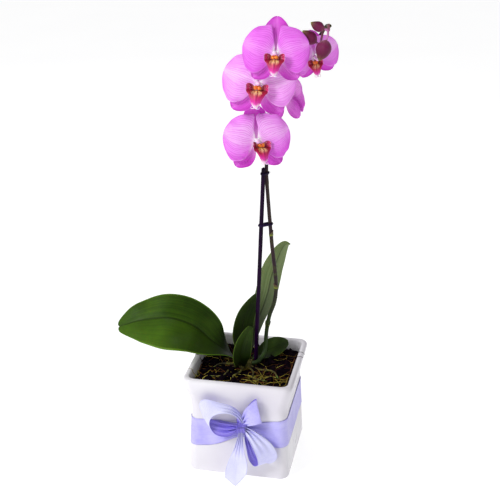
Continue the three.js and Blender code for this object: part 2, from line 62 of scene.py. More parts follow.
def unit(v):
    return v / np.maximum(np.linalg.norm(v, axis=-1, keepdims=True), 1e-12)


def vec(*p):
    return np.stack(np.broadcast_arrays(*[np.asarray(x, float) for x in p]), -1)


def ease_ends(v):
    return (1 - np.cos(np.pi * v)) / 2


def cross_axes(u_count, v_count):
    """A grid of u, from -1 to 1 across, and v, from 0 to 1 along."""
    return np.meshgrid(np.linspace(-1, 1, u_count + 1), np.linspace(0, 1, v_count + 1))


class Waves:
    """Smooth seeded noise from -1 to 1, as a sum of waves in any direction."""

    def __init__(self, seed, size, dims=3, count=14):
        rng = np.random.default_rng(seed)
        self.k = rng.normal(0, 1, (count, dims)) * 2 * np.pi / size * 0.6
        self.phase = rng.uniform(0, 2 * np.pi, count)

    def __call__(self, points):
        return np.sin(points @ self.k.T + self.phase).sum(-1) / math.sqrt(len(self.phase)) / 1.4


class Route:
    """A smooth curve through points, read by its share of length."""

    def __init__(self, points, fine=40):
        p = np.array([np.asarray(q, float) for q in points])
        p = np.vstack([2 * p[0] - p[1], p, 2 * p[-1] - p[-2]])
        t = np.linspace(0, 1, fine, endpoint=False)[:, None]
        parts = []
        for a, b, c, d in zip(p, p[1:], p[2:], p[3:]):
            da, db, dc = [max(np.linalg.norm(q - r), 1e-6) ** 0.5 for q, r in ((b, a), (c, b), (d, c))]
            m1 = ((b - a) / da - (c - a) / (da + db) + (c - b) / db) * db
            m2 = ((c - b) / db - (d - b) / (db + dc) + (d - c) / dc) * db
            parts.append(b + m1 * t + (3 * c - 3 * b - 2 * m1 - m2) * t**2 + (2 * b - 2 * c + m1 + m2) * t**3)
        self.points = np.vstack(parts + [p[-2:-1]])
        steps = np.linalg.norm(np.diff(self.points, axis=0), axis=1)
        share = np.concatenate([[0], np.cumsum(steps)])
        self.length = share[-1]
        self.share = share / share[-1]

    def at(self, t):
        return np.stack([np.interp(t, self.share, self.points[:, k]) for k in range(3)], -1)

    def along(self, t, step=0.006):
        return unit(self.at(np.clip(t + step, 0, 1)) - self.at(np.clip(t - step, 0, 1)))

    def share_at_height(self, z):
        return self.share[np.argmin(abs(self.points[:, 2] - z))]


# ---- Meshes ----


class Skin:
    """Collects surfaces, in millimetres, into one mesh with UVs and a material for each face."""

    def __init__(self):
        self.points, self.faces, self.uvs, self.kinds = [], [], [], []
        self.count = 0

    def grid(self, points, uv, kind=0, wrap=False, flip=False):
        """A sheet of quads. With wrap, its last column joins its first, and uv has one column more."""
        rows, cols = points.shape[:2]
        index = self.count + np.arange(rows * cols).reshape(rows, cols)
        self.points.append(points.reshape(-1, 3))
        self.count += rows * cols
        looped = np.hstack([index, index[:, :1]]) if wrap else index
        corners = [(slice(None, -1), slice(None, -1)), (slice(None, -1), slice(1, None)),
                   (slice(1, None), slice(1, None)), (slice(1, None), slice(None, -1))]
        if flip:
            corners.reverse()
        self.faces += np.stack([looped[c] for c in corners], -1).reshape(-1, 4).tolist()
        self.uvs.append(np.stack([uv[c] for c in corners], -2).reshape(-1, 2))
        self.kinds += [kind] * ((looped.shape[0] - 1) * (looped.shape[1] - 1))
        return index

    def strip(self, first, second, uv_first, uv_second, kind=0):
        """Quads between two rows of points that are already there."""
        faces = np.stack([first[:-1], first[1:], second[1:], second[:-1]], -1)
        self.faces += faces.tolist()
        uvs = np.stack([uv_first[:-1], uv_first[1:], uv_second[1:], uv_second[:-1]], -2)
        self.uvs.append(uvs.reshape(-1, 2))
        self.kinds += [kind] * len(faces)

    def cap(self, ring, centre, uv, kind=0, flip=False):
        """A fan from a ring that is already there to a new point."""
        self.points.append(np.asarray(centre, float).reshape(1, 3))
        middle = self.count
        self.count += 1
        for a, b in zip(ring, np.roll(ring, -1)):
            self.faces.append([int(b), int(a), middle] if flip else [int(a), int(b), middle])
        self.uvs.append(np.tile(uv, (3 * len(ring), 1)))
        self.kinds += [kind] * len(ring)

    def both_sides(self, at, across, along, thickness, kinds=(0, 0), place=None):
        """A closed thin body about the surface at(u, v). kinds are its upper and its under side."""
        u, v = cross_axes(across, along)
        middle = at(u, v)
        normal = unit(np.cross(np.gradient(middle, axis=1), np.gradient(middle, axis=0)))
        half = (thickness(u, v) if callable(thickness) else thickness) / 2
        half = np.broadcast_to(half, u.shape)[..., None]
        uv = np.stack([(u + 1) / 2, v], -1)
        upper, under = middle + normal * half, middle - normal * half
        if place is not None:
            upper, under = place(upper), place(under)
        top = self.grid(upper, uv, kinds[0])
        low = self.grid(under, uv, kinds[1], flip=True)
        self.strip(low[0], top[0], uv[0], uv[0], kinds[0])
        self.strip(top[-1], low[-1], uv[-1], uv[-1], kinds[0])
        self.strip(top[:, 0], low[:, 0], uv[:, 0], uv[:, 0], kinds[0])
        self.strip(low[:, -1], top[:, -1], uv[:, -1], uv[:, -1], kinds[0])

    def tube(self, route, radius, sides=10, steps=40, kind=0, tag=None, flat=1.0, place=None):
        """A round body along a route. radius may change with the share of length and the angle."""
        t = np.linspace(0, 1, steps + 1)
        centre, heading = route.at(t), route.along(t)
        side = unit(np.cross(heading[0], [0.31, 0.22, 0.93]))
        sides_at = []
        for d in heading:
            side = unit(side - d * (side @ d))
            sides_at.append(side)
        side = np.array(sides_at)[:, None]
        rise = np.cross(heading, side[:, 0])[:, None]
        angle = np.arange(sides) * 2 * np.pi / sides
        size = radius(t[:, None], angle[None]) if callable(radius) else radius
        size = np.broadcast_to(size, (steps + 1, sides))[..., None]
        ring = (centre[:, None] + size * (np.cos(angle)[None, :, None] * side
                                          + flat * np.sin(angle)[None, :, None] * rise))
        around = np.linspace(0, 1, sides + 1)
        uv = np.stack(np.broadcast_arrays(around[None] if tag is None else tag,
                                          t[:, None] + 0 * around[None]), -1)
        ends = [centre[0] - heading[0] * size[0].mean() * 0.4,
                centre[-1] + heading[-1] * size[-1].mean() * 0.4]
        if place is not None:
            ring, ends = place(ring), [place(e) for e in ends]
        index = self.grid(ring, uv, kind, wrap=True)
        self.cap(index[0], ends[0], uv[0, 0], kind, flip=True)
        self.cap(index[-1], ends[1], uv[-1, 0], kind)

    def build(self, name, materials, nodes, flat=False):
        mesh = bpy.data.meshes.new(name)
        mesh.from_pydata((np.vstack(self.points) * MM).tolist(), [], self.faces)
        mesh.uv_layers.new(name="UVMap").data.foreach_set("uv", np.vstack(self.uvs).ravel())
        mesh.polygons.foreach_set("material_index", self.kinds)
        mesh.polygons.foreach_set("use_smooth", [not flat] * len(self.faces))
        for material in materials:
            mesh.materials.append(material)
        mesh.update()
        piece = bpy.data.objects.new(name, mesh)
        bpy.context.scene.collection.objects.link(piece)
        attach(piece, "root")
        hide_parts(*nodes)
        return piece


# ---- Materials ----


def colour(red, green, blue):
    """A screen colour, from 0 to 255, as the linear one that a shader takes."""
    c = np.array([red, green, blue]) / 255
    linear = np.where(c <= 0.04045, c / 12.92, ((c + 0.055) / 1.055) ** 2.4)
    return (*map(float, linear), 1.0)


class Wire:
    """What a node gives out. Wires add, subtract and multiply as numbers do."""

    def __init__(self, look, node, output=0):
        self.look, self.socket = look, node.outputs[output]

    def __add__(self, other):
        return self.look.math("ADD", self, other)

    def __sub__(self, other):
        return self.look.math("SUBTRACT", self, other)

    def __rsub__(self, other):
        return self.look.math("SUBTRACT", other, self)

    def __mul__(self, other):
        return self.look.math("MULTIPLY", self, other)

    def __abs__(self):
        return self.look.math("ABSOLUTE", self)


class Look:
    """A Principled material, and short ways to add nodes to it. A colour is three screen values, 0 to 255."""

    def __init__(self, name, fixed):
        self.material = bpy.data.materials.new(name)
        self.material.use_nodes = True
        self.tree = self.material.node_tree
        self.shader = next(n for n in self.tree.nodes if n.type == "BSDF_PRINCIPLED")
        for key, value in fixed.items():
            self.shader.inputs[key].default_value = value

    def put(self, kind, inputs, **settings):
        made = self.tree.nodes.new("ShaderNode" + kind)
        for key, value in settings.items():
            setattr(made, key, value)
        for key, value in inputs.items():
            if isinstance(value, Wire):
                self.tree.links.new(value.socket, made.inputs[key])
            else:
                made.inputs[key].default_value = colour(*value) if isinstance(value, tuple) else value
        return made

    def math(self, operation, a, b=0.0, c=0.0):
        return Wire(self, self.put("Math", {0: a, 1: b, 2: c}, operation=operation))

    def uv(self):
        """How far across and how far along the surface, each from 0 to 1."""
        split = self.put("SeparateXYZ", {0: Wire(self, self.put("TexCoord", {}), "UV")})
        return Wire(self, split, 0), Wire(self, split, 1)

    def place(self):
        return Wire(self, self.put("TexCoord", {}), "Object")

    def stretched(self, across, along, shift=0.0):
        """UV made longer or shorter, for streaks that follow a blade."""
        u, v = self.uv()
        return Wire(self, self.put("CombineXYZ", {0: u * across, 1: v * along, 2: shift}))

    def noise(self, vector, scale, detail, rough, warp):
        inputs = {"Vector": vector, "Scale": scale, "Detail": detail, "Roughness": rough, "Distortion": warp}
        return Wire(self, self.put("TexNoise", inputs))

    def grain(self, scale, detail, rough=0.5, warp=0.0):
        return self.noise(self.place(), scale, detail, rough, warp)

    def streaks(self, across, along, detail, rough=0.5, warp=0.0, shift=0.0):
        return self.noise(self.stretched(across, along, shift), 1, detail, rough, warp)

    def cells(self, scale):
        made = self.put("TexVoronoi", {"Vector": self.place(), "Scale": scale})
        return Wire(self, made, "Distance")

    def ramp(self, factor, stops, ease="LINEAR"):
        made = self.put("ValToRGB", {0: factor})
        band = made.color_ramp
        band.interpolation = ease
        while len(band.elements) < len(stops):
            band.elements.new(0.5)
        for element, (place, tint) in zip(band.elements, stops):
            element.position = place
            element.color = colour(*tint) if isinstance(tint, tuple) else (tint, tint, tint, 1)
        return Wire(self, made)

    def blend(self, factor, a, b, mode="MIX"):
        return Wire(self, self.put("Mix", {0: factor, 6: a, 7: b}, data_type="RGBA", blend_type=mode), 2)

    def finish(self, tint, rough=None, height=None, depth=0.0003, strength=0.5):
        links = self.tree.links
        links.new(tint.socket, self.shader.inputs["Base Color"])
        if rough is not None:
            links.new(rough.socket, self.shader.inputs["Roughness"])
        if height is not None:
            bump = self.put("Bump", {"Height": height, "Strength": strength, "Distance": depth})
            links.new(bump.outputs[0], self.shader.inputs["Normal"])
        return self.material


def glaze():
    look = Look("white_glaze", {"Coat Weight": 0.12, "Coat Roughness": 0.08, "Specular IOR Level": 0.08})
    pools = look.grain(14, 2)
    # the faint lilac cast in the glaze's tone is painted reflection of the ribbon and the petals; its uneven
    # pools are the glaze's own
    tint = look.ramp(pools, [(0.3, (219, 215, 224)), (0.7, (235, 233, 238))])
    specks = look.ramp(look.cells(260), [(0.03, 0.82), (0.07, 1.0)])
    waves = look.grain(30, 2) + look.grain(420, 2) * 0.12
    rough = look.ramp(pools, [(0.3, 0.34), (0.7, 0.24)])
    return look.finish(look.blend(1.0, tint, specks, "MULTIPLY"), rough, waves, 0.0012, 0.25)


def unglazed():
    look = Look("unglazed_foot", {"Roughness": 0.85})
    grain = look.grain(900, 4)
    tint = look.ramp(grain, [(0.3, (198, 190, 180)), (0.7, (226, 220, 212))])
    return look.finish(tint, None, grain, 0.0003, 0.5)


def bark(name, dark, middle, light, scale=150):
    look = Look(name, {"Specular IOR Level": 0.02})
    coarse = look.grain(scale, 6, 0.65, 0.6)
    fine = look.grain(scale * 6, 4, 0.7)
    tint = look.ramp(coarse, [(0.34, dark), (0.56, middle), (0.74, light)])
    height = coarse + fine * 0.4
    rough = look.ramp(fine, [(0.3, 0.75), (0.7, 0.98)])
    return look.finish(tint, rough, height, 0.002, 0.8)


def strand():
    look = Look("moss_strand", {"Roughness": 0.75, "Specular IOR Level": 0.15})
    u, _ = look.uv()
    tint = look.ramp(u, [(0.0, (216, 204, 92)), (0.25, (166, 150, 52)), (0.45, (122, 84, 30)),
                         (0.7, (92, 38, 20)), (1.0, (26, 8, 14))])
    mottle = look.ramp(look.grain(420, 4), [(0.35, 0.45), (0.65, 1.25)])
    return look.finish(look.blend(1.0, tint, mottle, "MULTIPLY"), None, look.grain(900, 3), 0.0004, 0.6)


def root_skin():
    look = Look("root_skin", {"Subsurface Weight": 0.05, "Subsurface Scale": 0.001})
    _, v = look.uv()
    mottle = look.grain(240, 5, 0.6)
    tint = look.ramp(mottle, [(0.3, (26, 20, 10)), (0.5, (74, 68, 24)), (0.7, (146, 142, 54))])
    tip = look.ramp(v, [(0.86, 0.0), (0.97, 1.0)])
    rough = look.ramp(mottle, [(0.3, 0.55), (0.7, 0.9)])
    return look.finish(look.blend(tip, tint, (110, 140, 50)), rough, look.grain(700, 4), 0.0005, 0.6)


def leaf_skin(name, dark, middle, light, margin, gloss, veins):
    """Fleshy leaf: streaks along the veins, a midrib groove darkened with painted shade, a paler margin,
    painted light on one half and painted shade towards its foot.
    """
    look = Look(name, {"Coat Weight": gloss, "Coat Roughness": 0.25, "Subsurface Weight": 0.06,
                       "Subsurface Scale": 0.002, "Specular IOR Level": 0.12})
    u, v = look.uv()
    streaks = look.streaks(46, 2.2, 3, 0.6)
    patches = look.grain(26, 3, 0.5)
    tone = streaks * veins + patches * (1 - veins)
    tint = look.ramp(tone, [(0.36, dark), (0.5, middle), (0.64, light)])
    # painted light: the half of the blade on one side of the midrib is blended towards the light tone
    tint = look.blend(look.ramp(u, [(0.1, 0.55), (0.5, 0.3), (0.56, 0.0)]), tint, light)
    off_middle = abs(u - 0.5)
    # painted shade darkens the midrib's groove
    rib = look.ramp(off_middle, [(0.0, 0.42), (0.012, 0.5), (0.035, 0.92), (0.07, 1.0)])
    edge = look.ramp(off_middle, [(0.47, 0.0), (0.494, 0.9)])
    # painted shade: the blade darkens to grey towards its foot at the crown
    base = look.ramp(v, [(0.0, (66, 56, 56)), (0.14, (104, 98, 108)), (0.36, (182, 182, 192)),
                         (0.62, (255, 255, 255))])
    tint = look.blend(1.0, look.blend(1.0, tint, rib, "MULTIPLY"), base, "MULTIPLY")
    cells = look.grain(1500, 2)
    height = streaks * 0.8 + cells * 0.15
    rough = look.ramp(tone, [(0.35, 0.44), (0.65, 0.58)])
    return look.finish(look.blend(edge, tint, margin), rough, height, 0.0005, 0.45)


def stem_skin():
    look = Look("stem_skin", {"Specular IOR Level": 0.2, "Coat Weight": 0.05, "Coat Roughness": 0.3})
    _, v = look.uv()
    mottle = look.grain(90, 5, 0.65, 0.4)
    tint = look.ramp(mottle, [(0.38, (34, 12, 28)), (0.52, (48, 28, 30)), (0.68, (60, 70, 26))])
    low = look.ramp(mottle, [(0.35, (34, 52, 22)), (0.65, (52, 78, 30))])
    tint = look.blend(look.ramp(v, [(0.1, 0.9), (0.3, 0.0)]), tint, low)
    specks = look.ramp(look.cells(900), [(0.1, 0.7), (0.3, 1.0)])
    height = look.streaks(20, 160, 3)
    return look.finish(look.blend(1.0, tint, specks, "MULTIPLY"),
                       look.ramp(mottle, [(0.3, 0.38), (0.7, 0.55)]), height, 0.0003, 0.4)


def stalk_skin():
    look = Look("stalk_skin", {"Specular IOR Level": 0.25})
    _, v = look.uv()
    mottle = look.grain(260, 4)
    tint = look.ramp(v + mottle * 0.4, [(0.3, (74, 78, 40)), (0.7, (134, 70, 92)), (1.2, (196, 120, 178))])
    return look.finish(tint, look.ramp(mottle, [(0.3, 0.4), (0.7, 0.55)]), look.streaks(14, 60, 3), 0.0003,
                       0.4)


def node_skin():
    look = Look("node_skin", {"Specular IOR Level": 0.4})
    _, v = look.uv()
    mottle = look.grain(500, 4)
    tint = look.ramp(v + mottle * 0.3, [(0.2, (126, 140, 40)), (0.5, (84, 84, 34)), (1.0, (74, 44, 40))])
    return look.finish(tint, look.ramp(mottle, [(0.3, 0.5), (0.7, 0.65)]), look.streaks(16, 4, 3), 0.0003,
                       0.5)


def plastic(name, dark, light, rough):
    """Dyed rod and tie plastic, with fine drawn lines and dull scuffs."""
    look = Look(name, {"Specular IOR Level": 0.06, "Coat Weight": 0.04, "Coat Roughness": 0.2})
    scuff = look.grain(60, 5, 0.7)
    lines = look.streaks(60, 3, 2)
    tint = look.ramp(scuff + lines * 0.3, [(0.45, dark), (0.85, light)])
    return look.finish(tint, look.ramp(scuff, [(0.35, rough), (0.65, rough + 0.18)]), lines, 0.0002, 0.4)


def petal_skin(name, pale, middle, deep, base, depth=1.0, claw_end=0.32):
    """Petal: a white claw, pink that pales towards the middle, and a fan of fine veins."""
    look = Look(name, {"Subsurface Weight": 0.3, "Subsurface Scale": 0.003, "Sheen Weight": 0.1,
                       "Sheen Roughness": 0.5, "Specular IOR Level": 0.2})
    look.shader.inputs["Subsurface Radius"].default_value = (1.0, 0.35, 0.9)
    u, v = look.uv()
    wobble = look.streaks(7, 3, 3, 0.6)
    phase = u * 150.0 + wobble * 13.0
    wave = look.math("MULTIPLY_ADD", look.math("SINE", phase), 0.5, 0.5)
    veins = wave * look.streaks(40, 2.2, 2, 0.5, 0.3)
    fine = look.streaks(120, 5, 2, 0.5, 0.3, shift=4.0)
    clouds = look.grain(30, 2)
    out = abs(u - 0.5)
    # deeper near the side margins and on the lower half, paler in the middle of the blade
    tone = out * 0.62 + clouds * 0.5 + (0.5 - u) * 0.16
    tint = look.ramp(tone, [(0.26, pale), (0.45, middle), (0.68, deep)], "EASE")
    lines = look.ramp(veins, [(0.22, 0.0), (0.52, 1.0)])
    fade = look.ramp(v, [(0.04, 0.1), (0.2, 0.62), (0.75, 0.5), (0.97, 0.25)])
    tint = look.blend(lines * fade * depth, tint, deep)
    claw = look.ramp(v + clouds * 0.12, [(0.1, 1.0), (claw_end, 0.0)], "EASE")
    tint = look.blend(claw, tint, base)
    rim = look.ramp(out, [(0.47, 0.0), (0.498, 0.45)])
    height = veins + fine * 0.35
    return look.finish(look.blend(rim, tint, pale), look.ramp(veins, [(0.2, 0.5), (0.6, 0.62)]), height,
                       0.0006, 0.4)


def lip_shield_skin():
    look = Look("lip_middle", {"Subsurface Weight": 0.1, "Subsurface Scale": 0.002,
                               "Specular IOR Level": 0.45})
    u, v = look.uv()
    out = abs(u - 0.5)
    middle = look.ramp(v, [(0.0, (226, 130, 60)), (0.2, (150, 30, 10)), (0.32, (248, 206, 120)),
                           (0.48, (250, 196, 150)), (0.6, (222, 60, 110)), (0.72, (214, 10, 136)),
                           (0.86, (220, 60, 176)), (0.95, (250, 226, 244))])
    side = look.ramp(v, [(0.25, (96, 4, 30)), (0.42, (150, 2, 40)), (0.58, (186, 0, 88)),
                         (0.8, (214, 30, 160)), (0.94, (252, 232, 248))])
    ragged = out + (look.grain(500, 3) - 0.5) * 0.2
    tint = look.blend(look.ramp(ragged, [(0.18, 0.0), (0.3, 1.0)]), middle, side)
    rays = look.ramp(look.streaks(22, 1.2, 2, 0.5), [(0.47, 0.0), (0.54, 1.0)])
    where = look.ramp(v, [(0.25, 0.1), (0.38, 0.95), (0.6, 0.9), (0.76, 0.0)])
    tint = look.blend(rays * where, tint, (158, 10, 34))
    keel = look.ramp(out, [(0.015, 0.8), (0.05, 0.0)])
    keel = keel * look.ramp(v, [(0.5, 0.0), (0.56, 1.0), (0.8, 0.6), (0.9, 0.0)])
    tint = look.blend(keel, tint, (150, 0, 90))
    return look.finish(tint, look.ramp(v, [(0.2, 0.35), (0.8, 0.5)]), look.streaks(26, 3, 3), 0.0005, 0.5)


def lip_wing_skin(name, inner):
    """A side lobe: v runs from its foot to its rim."""
    look = Look(name, {"Subsurface Weight": 0.08, "Subsurface Scale": 0.002, "Specular IOR Level": 0.4})
    u, v = look.uv()
    spots = look.grain(520, 4) - 0.5
    reach = v + spots * 0.22
    if inner:
        # the inner face is crimson; its darkest maroon, low in the hollow from 0.24 to 0.42, is painted shade
        stops = [(0.0, (250, 226, 190)), (0.12, (232, 150, 110)), (0.24, (128, 8, 44)), (0.42, (150, 4, 58)),
                 (0.62, (204, 4, 92)), (0.84, (222, 22, 138)), (0.95, (230, 96, 178)), (1.0, (250, 214, 242))]
    else:
        stops = [(0.0, (246, 214, 236)), (0.5, (240, 176, 226)), (0.8, (208, 40, 146)),
                 (0.99, (248, 206, 240))]
    tint = look.ramp(reach, stops)
    stripes = look.ramp(look.streaks(18, 1.5, 2), [(0.45, 0.0), (0.6, 0.55)])
    tint = look.blend(stripes, tint, (120, 4, 50))
    sides = abs(u - 0.5)
    flecks = look.ramp(look.grain(900, 2), [(0.56, 0.0), (0.64, 0.55)])
    tint = look.blend(flecks, tint, (236, 150, 170))
    margin = look.ramp(sides + spots * 0.06, [(0.46, 0.0), (0.49, 0.7)])
    tint = look.blend(margin, tint, (244, 190, 230))
    return look.finish(tint, look.ramp(spots, [(-0.2, 0.4), (0.2, 0.55)]), look.streaks(24, 4, 3), 0.0004,
                       0.5)


def callus_skin():
    look = Look("callus", {"Subsurface Weight": 0.2, "Subsurface Scale": 0.0015, "Coat Weight": 0.3,
                           "Coat Roughness": 0.2})
    dots = look.cells(1100)
    tint = look.ramp(look.grain(420, 3), [(0.35, (214, 74, 4)), (0.62, (246, 148, 24))])
    tint = look.blend(look.ramp(dots, [(0.12, 0.85), (0.24, 0.0)]), tint, (140, 20, 10))
    return look.finish(tint, look.ramp(dots, [(0.1, 0.3), (0.5, 0.45)]), look.grain(1200, 3), 0.0003, 0.5)


def column_skin():
    look = Look("column", {"Subsurface Weight": 0.3, "Subsurface Scale": 0.003, "Specular IOR Level": 0.45})
    _, v = look.uv()
    blush = look.grain(300, 3) * 0.5 + v * 0.4
    tint = look.ramp(blush, [(0.25, (255, 238, 252)), (0.5, (252, 214, 246)), (0.8, (240, 160, 226))])
    return look.finish(tint, look.ramp(blush, [(0.3, 0.45), (0.7, 0.35)]), look.streaks(16, 6, 3), 0.0003,
                       0.4)


def bud_skin():
    look = Look("bud_skin", {"Subsurface Weight": 0.12, "Subsurface Scale": 0.003, "Specular IOR Level": 0.2})
    _, v = look.uv()
    streaks = look.streaks(30, 2, 3, 0.6)
    along = v + (streaks - 0.5) * 0.35
    tint = look.ramp(along, [(0.0, (132, 70, 92)), (0.25, (116, 30, 78)), (0.7, (92, 18, 54)),
                             (0.9, (104, 66, 50)), (1.0, (118, 138, 52))])
    return look.finish(tint, look.ramp(streaks, [(0.3, 0.42), (0.7, 0.58)]), streaks, 0.0006, 0.5)


def satin(name, dark, middle, light, gather, both_ends=True):
    """Woven satin: fine threads across, a woven edge, and painted shade in fold streaks that grows towards a
    gathered end.
    """
    look = Look(name, {"Sheen Weight": 0.25, "Sheen Roughness": 0.3, "Anisotropic": 0.6,
                       "Specular IOR Level": 0.5})
    look.shader.inputs["Sheen Tint"].default_value = colour(235, 232, 255)
    u, v = look.uv()
    out = abs(u - 0.5)
    threads = look.streaks(160, 2.5, 2, 0.5)
    slubs = look.streaks(9, 60, 3, 0.6)
    cloth = look.grain(40, 3)
    weave = threads * 0.35 + slubs * 0.2
    tone = weave + cloth * 0.45
    tint = look.ramp(tone, [(0.36, dark), (0.5, middle), (0.66, light)])
    edge = look.ramp(out, [(0.465, 1.0), (0.475, 0.86), (0.49, 0.86), (0.499, 1.0)])
    tint = look.blend(1.0, tint, edge, "MULTIPLY")
    to_end = look.math("MINIMUM", v, 1.0 - v) if both_ends else v
    # painted shade: fold streaks, darkened towards the gathered end
    folds = look.streaks(6, 0.8, 2, 0.5, shift=3.0)
    near = look.ramp(to_end, [(0.0, 1.0), (gather, 0.35), (2 * gather, 0.0)], "EASE")
    shade = look.ramp(folds, [(0.4, 1.0), (0.6, 0.15)]) * near
    tint = look.blend(shade * 0.68, tint, (126, 108, 216))
    ribbing = {"Vector": look.stretched(1, 1), "Scale": 90.0, "Distortion": 0.6}
    ribs = Wire(look, look.put("TexWave", ribbing, bands_direction="Y"), 1)
    height = threads * 0.6 + ribs * 0.25
    return look.finish(tint, look.ramp(threads, [(0.3, 0.32), (0.7, 0.45)]), height, 0.00025, 0.4)


def crown_skin():
    look = Look("crown_skin", {"Specular IOR Level": 0.4})
    fibres = look.streaks(50, 3, 4, 0.6)
    tint = look.ramp(fibres, [(0.35, (66, 52, 26)), (0.52, (104, 100, 48)), (0.7, (88, 112, 44))])
    return look.finish(tint, look.ramp(fibres, [(0.3, 0.6), (0.7, 0.8)]), fibres, 0.001, 0.6)


GLAZE = glaze()
FOOT = unglazed()
SOIL = bark("damp_mix", (4, 1, 7), (9, 3, 11), (20, 9, 17), 170)
CHIP = bark("bark_chip", (5, 2, 9), (14, 6, 14), (38, 20, 26), 120)
STRAND = strand()
ROOT = root_skin()
LEAF = leaf_skin("leaf_upper", (34, 60, 2), (50, 80, 4), (68, 102, 8), (96, 134, 28), 0.02, 0.45)
LEAF_DEEP = leaf_skin("leaf_shaded", (16, 30, 2), (28, 46, 2), (44, 66, 6), (84, 112, 34), 0.03, 0.45)
LEAF_PALE = leaf_skin("leaf_under", (86, 104, 60), (108, 124, 78), (126, 142, 96), (96, 128, 44), 0.02, 0.75)
STEM = stem_skin()
STALK = stalk_skin()
NODE = node_skin()
STAKE = plastic("stake_rod", (10, 0, 18), (34, 2, 46), 0.36)
TIE = plastic("tie_plastic", (14, 4, 26), (40, 22, 66), 0.4)
PETAL = petal_skin("petal_face", (240, 180, 244), (233, 140, 238), (214, 92, 216), (252, 240, 252))
PETAL_PALE = petal_skin("petal_pale", (246, 202, 248), (240, 166, 243), (222, 116, 224), (254, 246, 254))
PETAL_RICH = petal_skin("petal_rich", (238, 152, 242), (230, 118, 234), (206, 74, 208), (252, 236, 252))
PETAL_BACK = petal_skin("petal_back", (240, 166, 238), (228, 124, 226), (204, 76, 200), (238, 186, 226), 0.8)
SEPAL = petal_skin("sepal_face", (228, 118, 226), (214, 88, 212), (182, 46, 176), (250, 208, 246), 1.0, 0.62)
SHIELD = lip_shield_skin()
WING_IN = lip_wing_skin("lip_lobe_inner", True)
WING_OUT = lip_wing_skin("lip_lobe_outer", False)
CALLUS = callus_skin()
COLUMN = column_skin()
BUD = bud_skin()
# SATIN is the ribbon's colour; satin_shining and the tail's copy are lit copies with painted light,
# satin_shaded a copy with painted shade
SATIN = satin("satin_ribbon", (170, 162, 240), (190, 184, 249), (206, 202, 254), 0.04)
SATIN_LIGHT = satin("satin_shining", (198, 197, 247), (214, 214, 252), (228, 229, 254), 0.13)
SATIN_DEEP = satin("satin_shaded", (132, 116, 220), (152, 139, 234), (176, 167, 246), 0.26)
SATIN_TAIL_LIT = satin("satin_tail_lit", (200, 199, 247), (216, 216, 252), (228, 229, 254), 0.3, False)
CROWN = crown_skin()

# ---- Where things are ----


def box_mm(node):
    return [np.array(corner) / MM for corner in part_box(node)]


crown_low, crown_high = box_mm("crown")
_, mix_high = box_mm("potting_mix")
pot_low, pot_high = box_mm("pot")
band_low, _ = box_mm("ribbon_band")
MIX_TOP = mix_high[2]
POT_HEIGHT = pot_high[2]
CROWN_AT = np.array([-6.0, 6.0])  # in the plant's own axes, which start on the mix's surface
PLANT = np.array([*((crown_low + crown_high) / 2)[:2] - CROWN_AT, MIX_TOP])
CROWN_RADIUS = (crown_high - crown_low)[0] / 2
CLEARANCE = 0.3


def on_plant(points):
    return np.asarray(points, float) + PLANT


def beside_crown(turn, height, gap):
    angle = math.radians(turn)
    away = CROWN_RADIUS + gap
    return np.array([CROWN_AT[0] + away * math.cos(angle), CROWN_AT[1] + away * math.sin(angle), height])


# ---- Pot ----

RIM_HALF = (pot_high - pot_low)[0] / 2
WAIST_HALF = RIM_HALF - 8
FOOT_HALF = RIM_HALF - 4.5
WAIST_HEIGHT = 92
WALL = 7.5
CORNER = 12


def pot_half(z):
    low = lerp(FOOT_HALF, WAIST_HALF, smooth(z / WAIST_HEIGHT))
    high = lerp(WAIST_HALF, RIM_HALF, smooth((z - WAIST_HEIGHT) / (POT_HEIGHT - WAIST_HEIGHT)))
    return np.where(z < WAIST_HEIGHT, low, high)


class Square:
    """A walk round a square with rounded corners, anticlockwise from above, from the middle of its front."""

    SIDE_X = [0, 1, 1, 1, 1, -1, -1, -1, -1, 0]
    SIDE_Y = [-1, -1, -1, 1, 1, 1, 1, -1, -1, -1]
    TURN = [-90, -90, 0, 0, 90, 90, 180, 180, 270, 270]

    def __init__(self, half=66.0, corner=CORNER):
        straight, bend = 2 * (half - corner), math.pi * corner / 2
        lengths = [straight / 2, bend, straight, bend, straight, bend, straight, bend, straight / 2]
        self.stops = np.concatenate([[0], np.cumsum(lengths)])
        self.length = self.stops[-1]
        self.stops /= self.length

    def at(self, share, half, corner, z):
        share = np.mod(share, 1.0)
        x, y = np.interp(share, self.stops, self.SIDE_X), np.interp(share, self.stops, self.SIDE_Y)
        turn = np.radians(np.interp(share, self.stops, self.TURN))
        core = half - corner
        return vec(x * core + corner * np.cos(turn), y * core + corner * np.sin(turn), z)

    def shares(self, on_side, on_corner):
        parts = []
        for i, (a, b) in enumerate(zip(self.stops, self.stops[1:])):
            count = on_corner if i % 2 else on_side // (2 if i in (0, 8) else 1)
            parts.append(np.linspace(a, b, count, endpoint=False))
        return np.concatenate(parts)


SQUARE = Square()

EDGE = 3.5  # radius of the foot's and the rim's rounding
MOUTH_EDGE = 3.0  # radius of the rim's rounding inside the mouth
MOUTH_CORNER = 8.3
FOOT_RING = 7.0  # width of the ring that the pot stands on
FOOT_RECESS = 2.2
FLOOR_LEVEL = 8


